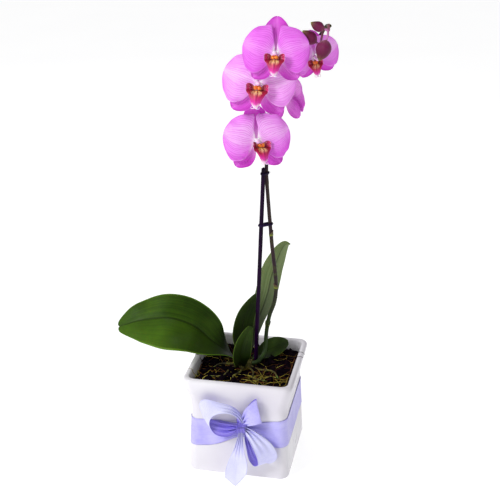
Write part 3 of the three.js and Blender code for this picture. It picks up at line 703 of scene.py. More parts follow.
def make_pot():
    """One profile from under the foot, up the outside, over the rim and down to the floor inside."""
    shares = SQUARE.shares(12, 10)
    quarter = np.linspace(0, np.pi / 2, 7)
    turns = list(zip(1 - np.sin(quarter), 1 - np.cos(quarter)))
    ring, high, rim = FOOT_HALF - EDGE - FOOT_RING, POT_HEIGHT - EDGE, RIM_HALF - WALL
    top = float(pot_half(high))
    profile = [(ring - 1.5, CORNER - 8, FOOT_RECESS), (ring, CORNER - 7, 0.3)]
    profile += [(FOOT_HALF - EDGE * a, CORNER - EDGE * a, EDGE * b) for a, b in turns]
    profile += [(float(pot_half(z)), CORNER, z) for z in np.linspace(EDGE, high, 34)[1:-1]]
    profile += [(top - EDGE * b, CORNER - EDGE * b, high + EDGE * (1 - a)) for a, b in turns]
    profile += [(rim + MOUTH_EDGE * a, 8.6 + 0.6 * MOUTH_EDGE * a, POT_HEIGHT - MOUTH_EDGE * b)
                for a, b in turns]
    profile += [(float(pot_half(z)) - WALL, MOUTH_CORNER, z)
                for z in np.linspace(POT_HEIGHT - 4, FLOOR_LEVEL, 16)]
    points = np.array([SQUARE.at(shares, half, corner, z) for half, corner, z in profile])
    around = np.append(shares, 1.0)
    uv = np.stack(np.meshgrid(around, np.linspace(0, 1, len(profile))), -1)
    skin = Skin()
    index = skin.grid(points, uv, 0, wrap=True)
    skin.cap(index[0], (0, 0, FOOT_RECESS), (0.5, 0), 1, flip=True)
    skin.cap(index[-1], (0, 0, FLOOR_LEVEL), (0.5, 1), 0)
    columns = len(shares)
    skin.kinds[: 2 * columns] = [1] * (2 * columns)
    skin.build("pot_glazed", [GLAZE, FOOT], ["pot"])


# ---- Mix, chips and strands ----

BED_DEPTH = 14
BED_GAP = 0.8  # between the mix and the pot's wall
CHIP_COUNT = 260
STRAND_COUNT = 118


def make_bed():
    """The lumpy surface of the mix, with a skirt that goes down beside the pot's wall."""
    shares = SQUARE.shares(14, 5)
    lumps = Waves(3, 17)
    fine = Waves(4, 5)
    skin = Skin()
    rows = []
    for s in np.linspace(1, 0.03, 34):
        half = (float(pot_half(MIX_TOP)) - WALL - BED_GAP) * s
        ring = SQUARE.at(shares, half, MOUTH_CORNER * s, MIX_TOP - 2.6)
        ring[:, 2] += 1.6 * lumps(ring) + 0.7 * fine(ring) - 1.2 * max(0, s - 0.93) / 0.07
        rows.append(ring)
    bottom = MIX_TOP - BED_DEPTH
    low = SQUARE.at(shares, float(pot_half(bottom)) - WALL - BED_GAP, MOUTH_CORNER, bottom)
    rows.insert(0, low)
    points = np.array(rows)
    uv = np.stack(np.meshgrid(np.append(shares, 1.0), np.linspace(0, 1, len(rows))), -1)
    index = skin.grid(points, uv, 0, wrap=True)
    skin.cap(index[0], (0, 0, bottom), (0.5, 0), 0, flip=True)
    skin.cap(index[-1], points[-1].mean(0), (0.5, 1), 0)
    skin.build("mix_bed", [SOIL], ["potting_mix"])


def chip_shape(rng):
    """A split piece of bark: a blocky grid, rounded a little and broken by noise."""
    steps = np.linspace(-1, 1, 4)
    size = np.array([rng.uniform(4, 7.5), rng.uniform(2.4, 4.4), rng.uniform(1.2, 2.4)])
    rough = Waves(int(rng.integers(1 << 30)), 1.4)
    turn, tilt = rng.uniform(0, 2 * np.pi), rng.normal(0, 0.32, 2)
    a, b = np.meshgrid(steps, steps)
    faces = []
    for axis in range(3):
        for side in (-1, 1):
            p = np.zeros((4, 4, 3))
            p[..., (axis + 1) % 3], p[..., (axis + 2) % 3], p[..., axis] = a, b, side
            length = np.linalg.norm(p, axis=-1, keepdims=True)
            p = p * lerp(1, 1.28 / length, 0.55)
            p = p * (1 + 0.2 * rough(p)[..., None]) * size
            faces.append((p, side < 0))
    c, s = math.cos(turn), math.sin(turn)
    spin = np.array([[c, -s, 0], [s, c, 0], [0, 0, 1]])
    lean = np.array([[1, 0, tilt[0]], [0, 1, tilt[1]], [-tilt[0], -tilt[1], 1]])
    return [(p @ lean.T @ spin.T, flip) for p, flip in faces]


def make_chips():
    rng = np.random.default_rng(21)
    half = float(pot_half(MIX_TOP)) - WALL - 5.5
    skin = Skin()
    uv = np.stack(np.meshgrid(np.linspace(0, 1, 4), np.linspace(0, 1, 4)), -1)
    made = 0
    while made < CHIP_COUNT:
        x, y = rng.uniform(-half, half, 2)
        if math.hypot(x - PLANT[0] - CROWN_AT[0], y - PLANT[1] - CROWN_AT[1]) < CROWN_RADIUS + 3:
            continue
        centre = np.array([x, y, MIX_TOP + rng.uniform(-3.4, -0.4)])
        for p, flip in chip_shape(rng):
            skin.grid(p + centre, uv, 0, flip=flip)
        made += 1
    piece = skin.build("bark_chips", [CHIP], ["potting_mix"], flat=True)
    weld(piece)


def weld(piece):
    """Joins the points that two of a piece's surfaces share."""
    mesh = bmesh.new()
    mesh.from_mesh(piece.data)
    bmesh.ops.remove_doubles(mesh, verts=mesh.verts, dist=0.02 * MM)
    mesh.to_mesh(piece.data)
    mesh.free()


# A strand's way over the rim, out from it and up from the mix, and the strands that take it: their side of
# the pot, where they start, their shade and how many points of the way they reach.
RIM_PATH = ((-24, 0.6), (-13, 2.4), (-8.2, 7.5), (-7.0, 10.7), (-5, 11.3), (-2.6, 11.2), (-0.7, 10.0),
            (0.15, 7.6), (0.25, 5.0))
RIM_STRANDS = ((-1, -6, 0.95, 8), (1, 26, 0.95, 9), (1, 12, 0.85, 8), (-1, -44, 0.3, 6))


def make_strands():
    """Dry moss stems and fine roots, curling over the mix."""
    rng = np.random.default_rng(8)
    half = float(pot_half(MIX_TOP)) - WALL - 3
    skin = Skin()
    for number in range(STRAND_COUNT):
        steps = int(rng.integers(10, 22))
        heading, bend = rng.uniform(0, 2 * np.pi), rng.normal(0, 0.2)
        at = rng.uniform(-half, half, 2)
        if number % 3:
            at = np.clip(rng.normal((14, -42), (40, 13)), -half, half)
        points = []
        lift, stride = rng.uniform(0.5, 4.5), rng.uniform(2.6, 5.2)
        for i in range(steps):
            rise = lift * math.sin(math.pi * i / (steps - 1)) + rng.normal(0, 0.3)
            points.append([*np.clip(at, -half, half), MIX_TOP - 0.4 + rise])
            heading += bend + rng.normal(0, 0.12)
            at = at + stride * np.array([math.cos(heading), math.sin(heading)])
        thick = rng.uniform(0.2, 0.48)
        tag = rng.uniform(0, 1) ** 1.5
        skin.tube(Route(points, 12), lambda t, a, w=thick: w * (1 - 0.5 * t), 6, 4 * steps, tag=tag)
    for side, y, tag, reach in RIM_STRANDS:
        swing = y + np.cumsum(rng.normal(0.8, 0.9, len(RIM_PATH)))
        points = [[side * (RIM_HALF + x), w, MIX_TOP + z] for (x, z), w in zip(RIM_PATH[:reach], swing)]
        skin.tube(Route(points, 12), lambda t, a: 0.36 * (1 - 0.4 * t), 6, 50, tag=tag)
    skin.build("moss_strands", [STRAND], ["potting_mix"])


# Each root's heading in degrees, its sway aside and its reach from the crown.
ROOTS = ((198, 5, 34), (232, -7, 48), (262, 6, 40), (303, 8, 46), (333, -6, 48), (118, 6, 26))
ROOT_RADIUS = 1.3


def make_roots():
    level = ROOT_RADIUS + 1.5 * CLEARANCE
    for number, (turn, wave, reach) in enumerate(ROOTS):
        angle = math.radians(turn)
        out = np.array([math.cos(angle), math.sin(angle), 0])
        aside = np.array([-out[1], out[0], 0])
        t = np.linspace(0, 1, 9)[:, None]
        along = CROWN_RADIUS - 1 + (reach + 2) * t
        points = np.append(CROWN_AT, level) + out * along + aside * wave * np.sin(2.4 * np.pi * t) * t
        points[:, 2] += 0.9 * np.sin(5 * t[:, 0] + number)
        bumps = Waves(40 + number, 5)
        route = Route(on_plant(points))
        skin = Skin()

        def radius(t, angle, route=route, bumps=bumps):
            knobbly = bumps(vec(t * route.length, 3 * np.cos(angle), 3 * np.sin(angle)))
            return (ROOT_RADIUS * (0.98 - 0.4 * t) * (1 + 0.1 * knobbly)
                    * np.sqrt(np.clip((1.004 - t) * 14, 0.02, 1)))

        skin.tube(route, radius, 12, 60)
        name = f"root_{number + 1}"
        skin.build(f"{name}_skin", [ROOT], [name])


def make_crown():
    """The short stem, wrapped in the dry bases of old leaves."""
    skin = Skin()
    centre = np.append(CROWN_AT, 0)
    fibres = Waves(55, 4)
    core = Route(on_plant([centre + (0, 0, -6), centre + (0, 0, 3), centre + (0, 0, 11)]))

    def core_radius(t, angle):
        uneven = 1 + 0.03 * fibres(vec(9 * t, 4 * np.cos(angle), 4 * np.sin(angle)))
        return CROWN_RADIUS * 0.86 * np.sqrt(np.clip((1.02 - t) * 3, 0, 1)) * uneven

    skin.tube(core, core_radius, 28, 20)
    for number, turn in enumerate((20, 110, 170, 235, 300, 350)):
        tall = 6.5 + 1.5 * (number % 3)

        def sheath(u, v, turn=turn, tall=tall):
            angle = math.radians(turn) + u * 0.62 * (1 - 0.75 * v**2)
            away = CROWN_RADIUS * (0.9 + 0.1 * v) + 0.5 * np.sin(7 * u + turn) * v
            x, y = CROWN_AT[0] + away * np.cos(angle), CROWN_AT[1] + away * np.sin(angle)
            return on_plant(vec(x, y, -3 + (tall + 3) * v * (1 - 0.12 * u * u)))

        skin.both_sides(sheath, 10, 10, 0.8)
    skin.build("crown_sheaths", [CROWN], ["crown"])


# ---- Leaves ----

LEAVES = {
    "leaf_left": dict(turn=196, height=6, midrib=[[-44, 3, 27], [-70, 0, 52], [-103, -6, 64], [-140, -11, 60],
                                                  [-170, -14, 49]],
                      faces=[[0.2, -0.45, 0.87], [0, -0.62, 0.78]], fold=[0.5, 0.06], half=34, widest=0.54,
                      skin=0, uneven=0.5),
    "leaf_back_tall": dict(turn=86, height=6, midrib=[[3, 34, 45], [15, 39, 82], [24, 42, 122], [40, 37, 160],
                                                      [46, 34, 163]],
                           faces=[[-0.25, 0.95, 0.1], [-0.4, 0.85, 0.3]], fold=[0.5, 0.2], half=15,
                           widest=0.58, skin=0),
    "leaf_back_left": dict(turn=138, height=6, midrib=[[-14, 18, 28], [-9, 20.5, 62], [6, 25, 94]],
                           faces=[[0.35, -0.9, 0.3], [0.6, -0.75, 0.3]], fold=[0.2, 0.3], half=13.5,
                           widest=0.46, skin=2),
    "leaf_front_small": dict(turn=268, height=3, midrib=[[-8, -15, 18], [-4, -17, 42], [5, -13, 66]],
                             faces=[[0.45, -0.8, 0.35], [0.55, -0.7, 0.45]], fold=[0.5, 0.3], half=12,
                             widest=0.45, skin=2),
    "leaf_right_small": dict(turn=50, height=3, midrib=[[9, 27, 4], [26, 41, 10], [44, 45, 18]],
                             faces=[[-0.1, -0.7, 0.7], [-0.15, -0.75, 0.65]], fold=[0.4, 0.25], half=13.5,
                             widest=0.62, skin=2),
}
LEAF_THICKNESS = 1.8


def make_leaf(name, seed):
    shape = LEAVES[name]
    rib = np.array(shape["midrib"], float)
    start = beside_crown(shape["turn"], shape["height"], 0)
    steep = unit(rib[0] - start)[2]
    base = beside_crown(shape["turn"], shape["height"], CLEARANCE + steep * LEAF_THICKNESS / 2)
    route = Route([base, *rib])
    outward = unit(np.array([*(base[:2] - CROWN_AT), 0.0]))
    first, last = np.array(shape["faces"], float)
    if outward @ first < 0:
        outward = -outward
    sharp = math.log(0.5) / math.log(shape["widest"])
    sway = Waves(seed, 38)

    def at(u, v):
        t = lerp(v, ease_ends(v), 0.7)
        along = route.along(t)
        turned = smooth(t / 0.3)[..., None]
        up = lerp(outward, lerp(first, last, t[..., None]), turned)
        up = unit(up - along * (up * along).sum(-1, keepdims=True))
        side = np.cross(along, up)
        swell = np.sin(np.pi * np.clip(t, 0, 1) ** sharp).clip(0) ** lerp(1, 0.6, smooth(t))
        half = shape["half"] * lerp(0.16, 1, swell) * (1 - 0.1 * t**8)
        uneven = shape.get("uneven", 0)
        wider, narrower = np.clip(-u, 0, 1) * np.sin(np.pi * t**1.25), np.clip(u, 0, 1) * smooth(1.6 - 2 * t)
        half = half * (1 + uneven * wider - 0.15 * uneven * narrower)
        # the two halves rise from the midrib's groove, droop a little at the margin and meet in a small notch
        rise = turned[..., 0] * lerp(shape["fold"][0], shape["fold"][1], t) * half * abs(u) ** 1.3
        groove = -0.05 * half * turned[..., 0] * np.exp(-((u / 0.07) ** 2)) * (1 - t**4)
        wave = 0.035 * half * sway(vec(t * route.length, u * half, 0)) * turned[..., 0]
        droop = -0.05 * half * abs(u) ** 4 * smooth((t - 0.3) / 0.4)
        notch = 0.05 * shape["half"] * smooth((t - 0.9) / 0.1) * np.exp(-((u / 0.25) ** 2))
        point = route.at(t) + side * (half * u)[..., None] + up * (rise + groove + wave + droop)[..., None]
        return point - along * notch[..., None]

    def thickness(u, v):
        keel = 0.7 * np.exp(-((u / 0.1) ** 2)) * (1 - v)
        return LEAF_THICKNESS * (0.3 + 0.75 * (1 - abs(u) ** 3)) * (1 - 0.35 * v) + keel

    skin = Skin()
    skin.both_sides(at, 40, 90, thickness, (shape["skin"], 1), on_plant)
    skin.build(f"{name}_blade", [LEAF, LEAF_PALE, LEAF_DEEP], [name])


# ---- Stake, spike and ties ----

STAKE_FOOT = np.array([6.0, 14.0])
STAKE_LEAN = np.array([13.0, -9.0])
STAKE_RISE = 270.0
STAKE_RADIUS = 1.9
STAKE_DEPTH = 95.0  # below the mix's surface
STAKE_COAT = 0.7  # by which the drawn stake is thicker than its CAD piece
STALK_RADIUS = 1.25
BARE_KNOT = 0.545  # the one joint of the spike with no bract
SPIKE_RADIUS = 2.2
SPIKE_TURN = 352
SPIKE_PATH = [
    beside_crown(SPIKE_TURN, 4, 2 * CLEARANCE), beside_crown(SPIKE_TURN + 6, 5, 5.5),
    [13, 12, 7], [16.5, 21, 13], [18, 28, 41], [22, 26, 63], [29, 24, 85], [31.5, 22, 106],
    [30, 20, 133], [27, 18, 164], [25, 15, 195],
    [22.5, 12.5, 235], [21.5, 10, 262], [22.5, 10, 290], [27, 12, 335], [40, 14, 365], [57, 18, 384],
    [70, 23, 406], [82, 21, 426], [90, 14, 437], [95, 3, 439],
]
SPIKE = Route(SPIKE_PATH)
JOINS = {"flower_1": 0.845, "flower_2": 0.745, "flower_3": 0.62, "flower_4": 0.7, "flower_5": 0.86,
         "bud_1": 0.982, "bud_2": 0.972, "bud_3": 0.992}


def stake_at(z):
    return np.array([*(STAKE_FOOT + STAKE_LEAN * z / STAKE_RISE), z])


def make_stake():
    drawn = Waves(71, 30)
    route = Route(on_plant([stake_at(z) for z in np.linspace(-STAKE_DEPTH, STAKE_RISE, 8)]))
    skin = Skin()

    def radius(t, angle):
        ends = np.sqrt(np.clip(np.minimum(t, 1 - t) * 260, 0.05, 1))
        rings = drawn(vec(t * (STAKE_DEPTH + STAKE_RISE), 9 * np.cos(angle), 9 * np.sin(angle)))
        return (STAKE_RADIUS + STAKE_COAT) * ends * (1 + 0.02 * rings)

    skin.tube(route, radius, 20, 240)
    skin.build("stake_rod", [STAKE], ["stake"])


def stalk_radius(t, angle):
    """A stalk swells where it leaves the spike and where it meets its flower."""
    swell = 0.35 * np.exp(-((t / 0.08) ** 2)) + 0.22 * np.exp(-(((1 - t) / 0.07) ** 2))
    return STALK_RADIUS * (1 + swell + 0.05 * np.sin(3 * angle) * t)


def make_spike(ends):
    """The spike with its joints and bracts, and a stalk to each flower and bud."""
    skin = Skin()
    knots = [0.13, 0.25, SPIKE.share_at_height(180), BARE_KNOT, 0.62, 0.7, 0.745, 0.845, 0.86, 0.93, 0.972]
    bumps = Waves(72, 12)

    def radius(t, angle):
        swell = sum(np.exp(-(((t - k) / 0.006) ** 2)) for k in knots)
        along = vec(t * SPIKE.length, 4 * np.cos(angle), 4 * np.sin(angle))
        return SPIKE_RADIUS * (1.26 - 0.4 * t) * (1 + 0.14 * swell + 0.04 * bumps(along))

    skin.tube(SPIKE, radius, 14, 260, 0, place=on_plant)
    for number, knot in enumerate(knots):
        if knot == BARE_KNOT:
            continue
        centre, heading = SPIKE.at(knot), SPIKE.along(knot)
        side = unit(np.cross(heading, [math.cos(number * 2.4), math.sin(number * 2.4), 0.15]))
        other = np.cross(heading, side)
        size = SPIKE_RADIUS * (1.3 - 0.5 * knot)
        tall = 7.5 if knot < 0.5 else 4.5

        def bract(u, v, centre=centre, heading=heading, side=side, other=other, size=size, tall=tall):
            angle = u * 2.6 * (1 - 0.86 * v**1.6)
            away = size * (1.12 + 0.18 * v + 0.1 * v * v)
            ring = side * np.cos(angle)[..., None] + other * np.sin(angle)[..., None]
            return centre + ring * away[..., None] + heading * (tall * v * (1 - 0.1 * u * u) - 0.8)[..., None]

        skin.both_sides(bract, 14, 10, lambda u, v: 0.55 - 0.35 * v, (2, 2), on_plant)
    for name, (bend, end) in ends.items():
        start = SPIKE.at(JOINS[name])
        middle = lerp(start, bend, 0.55) + (0, 0, 4)
        skin.tube(Route([start, middle, bend, end]), stalk_radius, 12, 40, 1, place=on_plant)
    skin.build("spike_stem", [STEM, STALK, NODE], ["flower_spike"])


def make_tie(name, z, tail):
    """A soft plastic band round the stake and the spike, pulled to a waist between them."""
    a, b = stake_at(z), SPIKE.at(SPIKE.share_at_height(z))
    apart = np.linalg.norm((b - a)[:2])
    x_axis = unit(np.array([*(b - a)[:2], 0.0]))
    y_axis = np.array([-x_axis[1], x_axis[0], 0.0])
    radius = SPIKE_RADIUS + 2 * CLEARANCE + 0.45
    angles = np.linspace(-np.pi / 2, np.pi / 2, 12)
    outline = [(apart + radius * math.cos(t), radius * math.sin(t)) for t in angles]
    outline += [(radius * math.cos(t + np.pi), radius * math.sin(t + np.pi)) for t in angles]
    outline = np.array(outline)
    middle = np.linspace(0, 2 * np.pi, len(outline), endpoint=False)
    skin = Skin()
    section = np.linspace(0, 2 * np.pi, 9)[:-1]
    rows = []
    for (x, y), turn in zip(outline, middle):
        centre = a + x_axis * x + y_axis * y
        outwards = unit(x_axis * (x - np.clip(x, 0, apart)) + y_axis * y)
        rows.append([centre + outwards * 0.45 * math.cos(s) + np.array([0, 0, 1]) * 1.5 * math.sin(s)
                     for s in section])
    rows = np.array(rows).transpose(1, 0, 2)
    uv = np.stack(np.meshgrid(np.linspace(0, 1, rows.shape[1] + 1), np.linspace(0, 1, rows.shape[0] + 1)), -1)
    closed = np.concatenate([rows, rows[:1]])
    skin.grid(on_plant(closed), uv, 0, wrap=True)
    end = b + x_axis * radius + y_axis * 0.6
    drop = np.array([0, 0, -1.0])
    tip = Route([end - x_axis * 2, end + x_axis * tail * 0.4 + drop * 0.4,
                 end + x_axis * tail + drop * tail * 0.35])
    skin.tube(tip, lambda t, a: 0.95 * (1 - 0.75 * t), 8, 12, flat=0.55, place=on_plant)
    knob = a - x_axis * radius
    knob_route = Route([knob - x_axis * 1.3, knob, knob + x_axis * 0.8])
    skin.tube(knob_route, lambda t, a: 1.2 * np.sqrt(np.clip(t * 3, 0.1, 1)), 8, 8, place=on_plant)
    piece = skin.build(f"{name}_band", [TIE], [name])
    weld(piece)


# ---- Flowers ----

HUB = 2.6
BLADE_START = HUB + 0.5
MIDLINE = 0.9
PETAL_SHAPE = dict(angle=0.3, length=40, half=31, widest=0.46, sweep=0.25, layer=0, back=1, crown=3.5, curl=1)
SIDE_SEPAL = dict(angle=-0.8, length=38, half=13.5, widest=0.58, sweep=0, layer=2.4, back=3.5, crown=-1,
                  curl=-1)
TOP_SEPAL = dict(angle=math.pi / 2, length=43, half=15.5, widest=0.58, sweep=0, layer=2.4, back=3, crown=-1,
                 curl=-2)


def node_points(node):
    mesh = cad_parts[node].data
    points = np.empty(len(mesh.vertices) * 3, np.float32)
    mesh.vertices.foreach_get("co", points)
    return points.reshape(-1, 3).astype(float) / MM


class Flower:
    """A flower's own axes, read from its CAD pieces: x to its right, z up, its face looking along -y."""

    def __init__(self, name):
        column = node_points(f"{name}_column")
        centre = (column.max(0) + column.min(0)) / 2
        axis = np.linalg.svd(column - column.mean(0), full_matrices=False)[2][0]
        lip = node_points(f"{name}_lip").mean(0)
        if (lip - centre) @ axis > 0:
            axis = -axis
        reach = column @ axis
        self.scale = (reach.max() - reach.min()) / 15
        back = column.mean(0) + axis * (reach.max() - column.mean(0) @ axis)
        self.hub = back - axis * 3 * self.scale
        top = node_points(f"{name}_sepal_top").mean(0) - self.hub
        up = unit(top - axis * (top @ axis))
        self.axes = np.array([np.cross(axis, up), axis, up]) * self.scale

    def place(self, points):
        return self.hub + np.asarray(points, float) @ self.axes


def slot_between(kind):
    """Half the gap between the two petals above the column: a long V, or a slot that closes at its top."""
    if kind == "slot":
        return lambda z: MIDLINE + 2.0 * np.sin(np.pi * np.clip((z - 3) / 24, 0, 1))
    return lambda z: MIDLINE + 0.15 * np.clip(z - 4, 0, 40)


def blade(shape, side, is_petal, waves, ripple, opening):
    claw = 0.08
    sharp = math.log(0.5) / math.log(shape["widest"])
    cos, sin = math.cos(shape["angle"]), math.sin(shape["angle"])

    def at(u_raw, v):
        u = side * u_raw
        t = ease_ends(v)
        half = shape["half"] * lerp(claw, 1, np.sin(np.pi * t**sharp).clip(0) ** 0.62)
        lobe = shape["sweep"] * half * np.maximum(0, u) ** 2
        along = BLADE_START + shape["length"] * t - lobe * np.sin(np.pi * np.minimum(1, t * 1.2))
        aside = half * u * (1 + 0.045 * waves(vec(1.3 * along, 30 * side, 5)) * abs(u) ** 3)
        depth = shape["layer"] + shape["back"] * t + shape["curl"] * t * t * u * u
        depth = depth - shape["crown"] * np.sin(np.pi * t) * (1 - 0.5 * u * u)
        near_edge = np.maximum(abs(u) ** 2.5, t**5)
        depth = depth + ripple * near_edge * waves(vec(along, aside, 0)) * smooth(t / 0.3)
        depth = depth + 0.12 * np.cos(22 * u) * np.sin(np.pi * t) * (1 - near_edge)  # raised veins
        depth = depth + (0.5 if is_petal else 0.8) * np.exp(-((u / 0.08) ** 2)) * (1 - t)  # midrib furrow
        x, z = along * cos - aside * sin, along * sin + aside * cos
        if is_petal:
            gap = opening(z)
            x = np.maximum(x, gap + 0.12 * abs(x - gap))
        return vec(side * x, depth, z)

    return at


LIP_TURN = {3: 24, 5: -20}  # degrees by which a flower's lip looks aside
PETAL_FACES = {1: PETAL_RICH, 2: PETAL_PALE}


def petal_thickness(u, v):
    return 0.28 + 0.6 * (1 - abs(u) ** 4) * (1 - 0.5 * v) * np.sin(np.pi * np.clip(v, 0.02, 0.98)) ** 0.3


LIP_ROUTE = Route([[0, -1, -3.9], [0, -5.5, -7.4], [0, -10.5, -9.4], [0, -14.8, -13], [0, -17, -18.5],
                   [0, -16.8, -24], [0, -15.6, -29]])
LIP_OUTLINE = ([0, 0.2, 0.32, 0.42, 0.5, 0.6, 0.74, 0.88, 1], [2.2, 3.6, 6.6, 11.4, 12.4, 9.8, 6.6, 4.4, 1.2])


def lip_middle(u, v):
    """The middle lobe: narrow under the column, spread into a shield, then drawn to a point."""
    half = np.interp(v, *LIP_OUTLINE)
    back = 3.4 * u * u * smooth((v - 0.2) / 0.3) * (1 - 0.5 * v)
    rise = 3.2 * abs(u) ** 2.4 * smooth((v - 0.25) / 0.2) * smooth((0.9 - v) / 0.35)
    keel = -1.0 * np.exp(-((u / 0.16) ** 2)) * smooth(v / 0.3) * (1 - v)
    frill = 0.5 * np.sin(16 * v + 3 * u) * abs(u) ** 3 * smooth((v - 0.35) / 0.2)
    return LIP_ROUTE.at(v) + vec(half * u, back + keel + frill, rise)


def lip_lobe(side):
    """A side lobe spreads from beside the callus: a cup, darkened in its hollow by painted shade in its inner
    colour, with its rim turned forwards.
    """

    def at(u, v):
        half = 6.6 * np.sqrt(np.clip(1 - ((v - 0.5) / 0.54) ** 2, 0.02, 1))
        out = 2.6 + 10.4 * np.sin(1.35 * v) / math.sin(1.35)
        lift = -7.2 + 1.4 * v + half * u * (1 - 0.1 * v * u) - 1.2 * v * v * u
        forward = -5.5 - 9.5 * v * (1 - 0.32 * v) - 1.6 * u * u * v + 1.1 * np.sin(6 * u + side) * v**3 * 0.4
        return vec(side * (out + 1.2 * u * (1 - v)), forward, lift)

    return at


def make_flower(number):
    name = f"flower_{number}"
    flower = Flower(name)
    parts = (("petal_right", PETAL_SHAPE, 1), ("petal_left", PETAL_SHAPE, -1), ("sepal_top", TOP_SEPAL, 1),
             ("sepal_right", SIDE_SEPAL, 1), ("sepal_left", SIDE_SEPAL, -1))
    for order, (part, shape, side) in enumerate(parts):
        is_petal = shape is PETAL_SHAPE
        skin = Skin()
        opening = slot_between("slot" if number == 3 else "wedge")
        surface = blade(shape, side, is_petal, Waves(200 + 10 * number + order, 17), 1.5 if is_petal else 0.8,
                        opening)
        skin.both_sides(surface, 36, 40, petal_thickness, (1, 0), flower.place)
        if side < 0:
            for block in skin.uvs:
                block[:, 0] = 1 - block[:, 0]
        faces = [PETAL_FACES.get(number, PETAL), PETAL_BACK] if is_petal else [SEPAL, SEPAL]
        skin.build(f"{name}_{part}_blade", faces, [f"{name}_{part}"])
    skin = Skin()
    turn = math.radians(LIP_TURN.get(number, 0))
    spin = np.array([[math.cos(turn), math.sin(turn), 0], [-math.sin(turn), math.cos(turn), 0], [0, 0, 1]])

    def lip_place(points):
        return flower.place(np.asarray(points, float) @ spin)

    def lobe_thickness(u, v):
        return 0.3 + 0.4 * (1 - u * u) * (1 - 0.5 * v)

    skin.both_sides(lip_middle, 28, 56, lambda u, v: 0.35 + 0.6 * (1 - u * u) * (1 - 0.6 * v), (0, 0),
                    lip_place)
    skin.both_sides(lip_lobe(1), 20, 24, lobe_thickness, (2, 1), lip_place)
    skin.both_sides(lip_lobe(-1), 20, 24, lobe_thickness, (1, 2), lip_place)
    for side in (1, -1):
        hump = Route([[side * 1.5, -7.6, -6.6], [side * 2.0, -10.4, -5.4], [side * 1.6, -13.2, -7.6]])
        skin.tube(hump, lambda t, a: 0.4 + 2.1 * np.sin(np.pi * np.clip(t, 0, 1)) ** 0.7, 14, 16, 3,
                  place=lip_place)
        turns = np.linspace(0, 1.35 * np.pi, 9)
        x, y = side * (0.5 + 2.2 * (1 - np.cos(turns))), -15.7 - 2.2 * np.sin(turns)
        tendril = Route(vec(x, y, -28.4 - 2.0 * np.sin(turns * 0.75) + 0.5 * turns))
        skin.tube(tendril, lambda t, a: 0.6 * (1 - 0.65 * t), 8, 30, 4, place=lip_place)
    skin.build(f"{name}_lip_lobes", [SHIELD, WING_IN, WING_OUT, CALLUS, COLUMN],
               [f"{name}_lip"])
    skin = Skin()
    body = Route([[0, 3, 0], [0, -2, 0.1], [0, -6, -0.1], [0, -9.5, -0.9], [0, -12, -2.4]])

    def round_column(t, angle):
        width = np.interp(t, [0, 0.1, 0.35, 0.55, 0.78, 0.92, 1], [2.0, HUB, 2.5, 2.2, 2.9, 2.6, 1.3])
        return width * (1 + 0.05 * np.cos(3 * angle))

    skin.tube(body, round_column, 22, 34, place=flower.place)
    cap = Route([[0, -9.2, 0.9], [0, -11, 0.3], [0, -12.9, -1.6], [0, -13.2, -3]])
    skin.tube(cap, lambda t, a: 0.3 + 2.3 * np.sin(np.pi * np.clip(0.12 + 0.76 * t, 0, 1)) ** 0.8, 18, 16,
              place=flower.place)
    skin.build(f"{name}_column_body", [COLUMN], [f"{name}_column"])
    bend, end = flower.place([[0, 13, 0], [0, 3 + CLEARANCE / flower.scale, 0]])
    return bend - PLANT, end - PLANT


# Each bud's foot, the way it points, its length and its radius.
BUDS = {"bud_1": ([93, -11, 426], [-0.3, -0.16, -0.93], 24, 8.6),
        "bud_2": ([81, -4, 421.5], [-0.7, -0.27, 0.66], 21, 7.2),
        "bud_3": ([90, -5, 437], [-0.85, -0.15, 0.4], 17, 5.6)}


def make_bud(name):
    """A closed bud: three sepals meet in shallow seams that run to its tip."""
    at, points, length, radius = BUDS[name]
    at, away = np.array(at, float), unit(np.array(points, float))
    skin = Skin()

    def swell(t, angle):
        around = np.mod(angle * 3 / (2 * np.pi) + 0.15 * t, 1.0)
        seam = 0.075 * np.exp(-((around - 0.5) ** 2) / 0.006)
        full = np.sin(np.pi * np.clip(t, 0.001, 0.999) ** 0.8) ** 0.8
        return 0.12 + radius * full * (1 - seam + 0.035 * np.cos(3 * angle))

    bow = unit(np.cross(away, [0.3, 1, 0.2]))
    route = Route([at + away * length * t + bow * 0.8 * math.sin(math.pi * t)
                   for t in (0, 0.3, 0.6, 0.85, 1)])
    skin.tube(route, swell, 48, 44, place=on_plant)
    skin.build(f"{name}_sepals", [BUD], [name])
    return at - away * 5, at - away * CLEARANCE


# ---- Ribbon ----

RIBBON_WIDTH = 38.0
RIBBON_SLOPE = 0.07
RIBBON_LOW = band_low[2] + RIBBON_SLOPE * RIM_HALF * 0.93
RIBBON_THICKNESS = 0.35
KNOT_X = 7.0
KNOT_RADIUS = 6.5
KNOT_Z = RIBBON_LOW + RIBBON_WIDTH * 0.88
KNOT_SHARE = KNOT_X / SQUARE.length


def from_knot(x, out, z):
    return vec(KNOT_X + x, -(pot_half(KNOT_Z + z) + 2.0) - out, KNOT_Z + z)


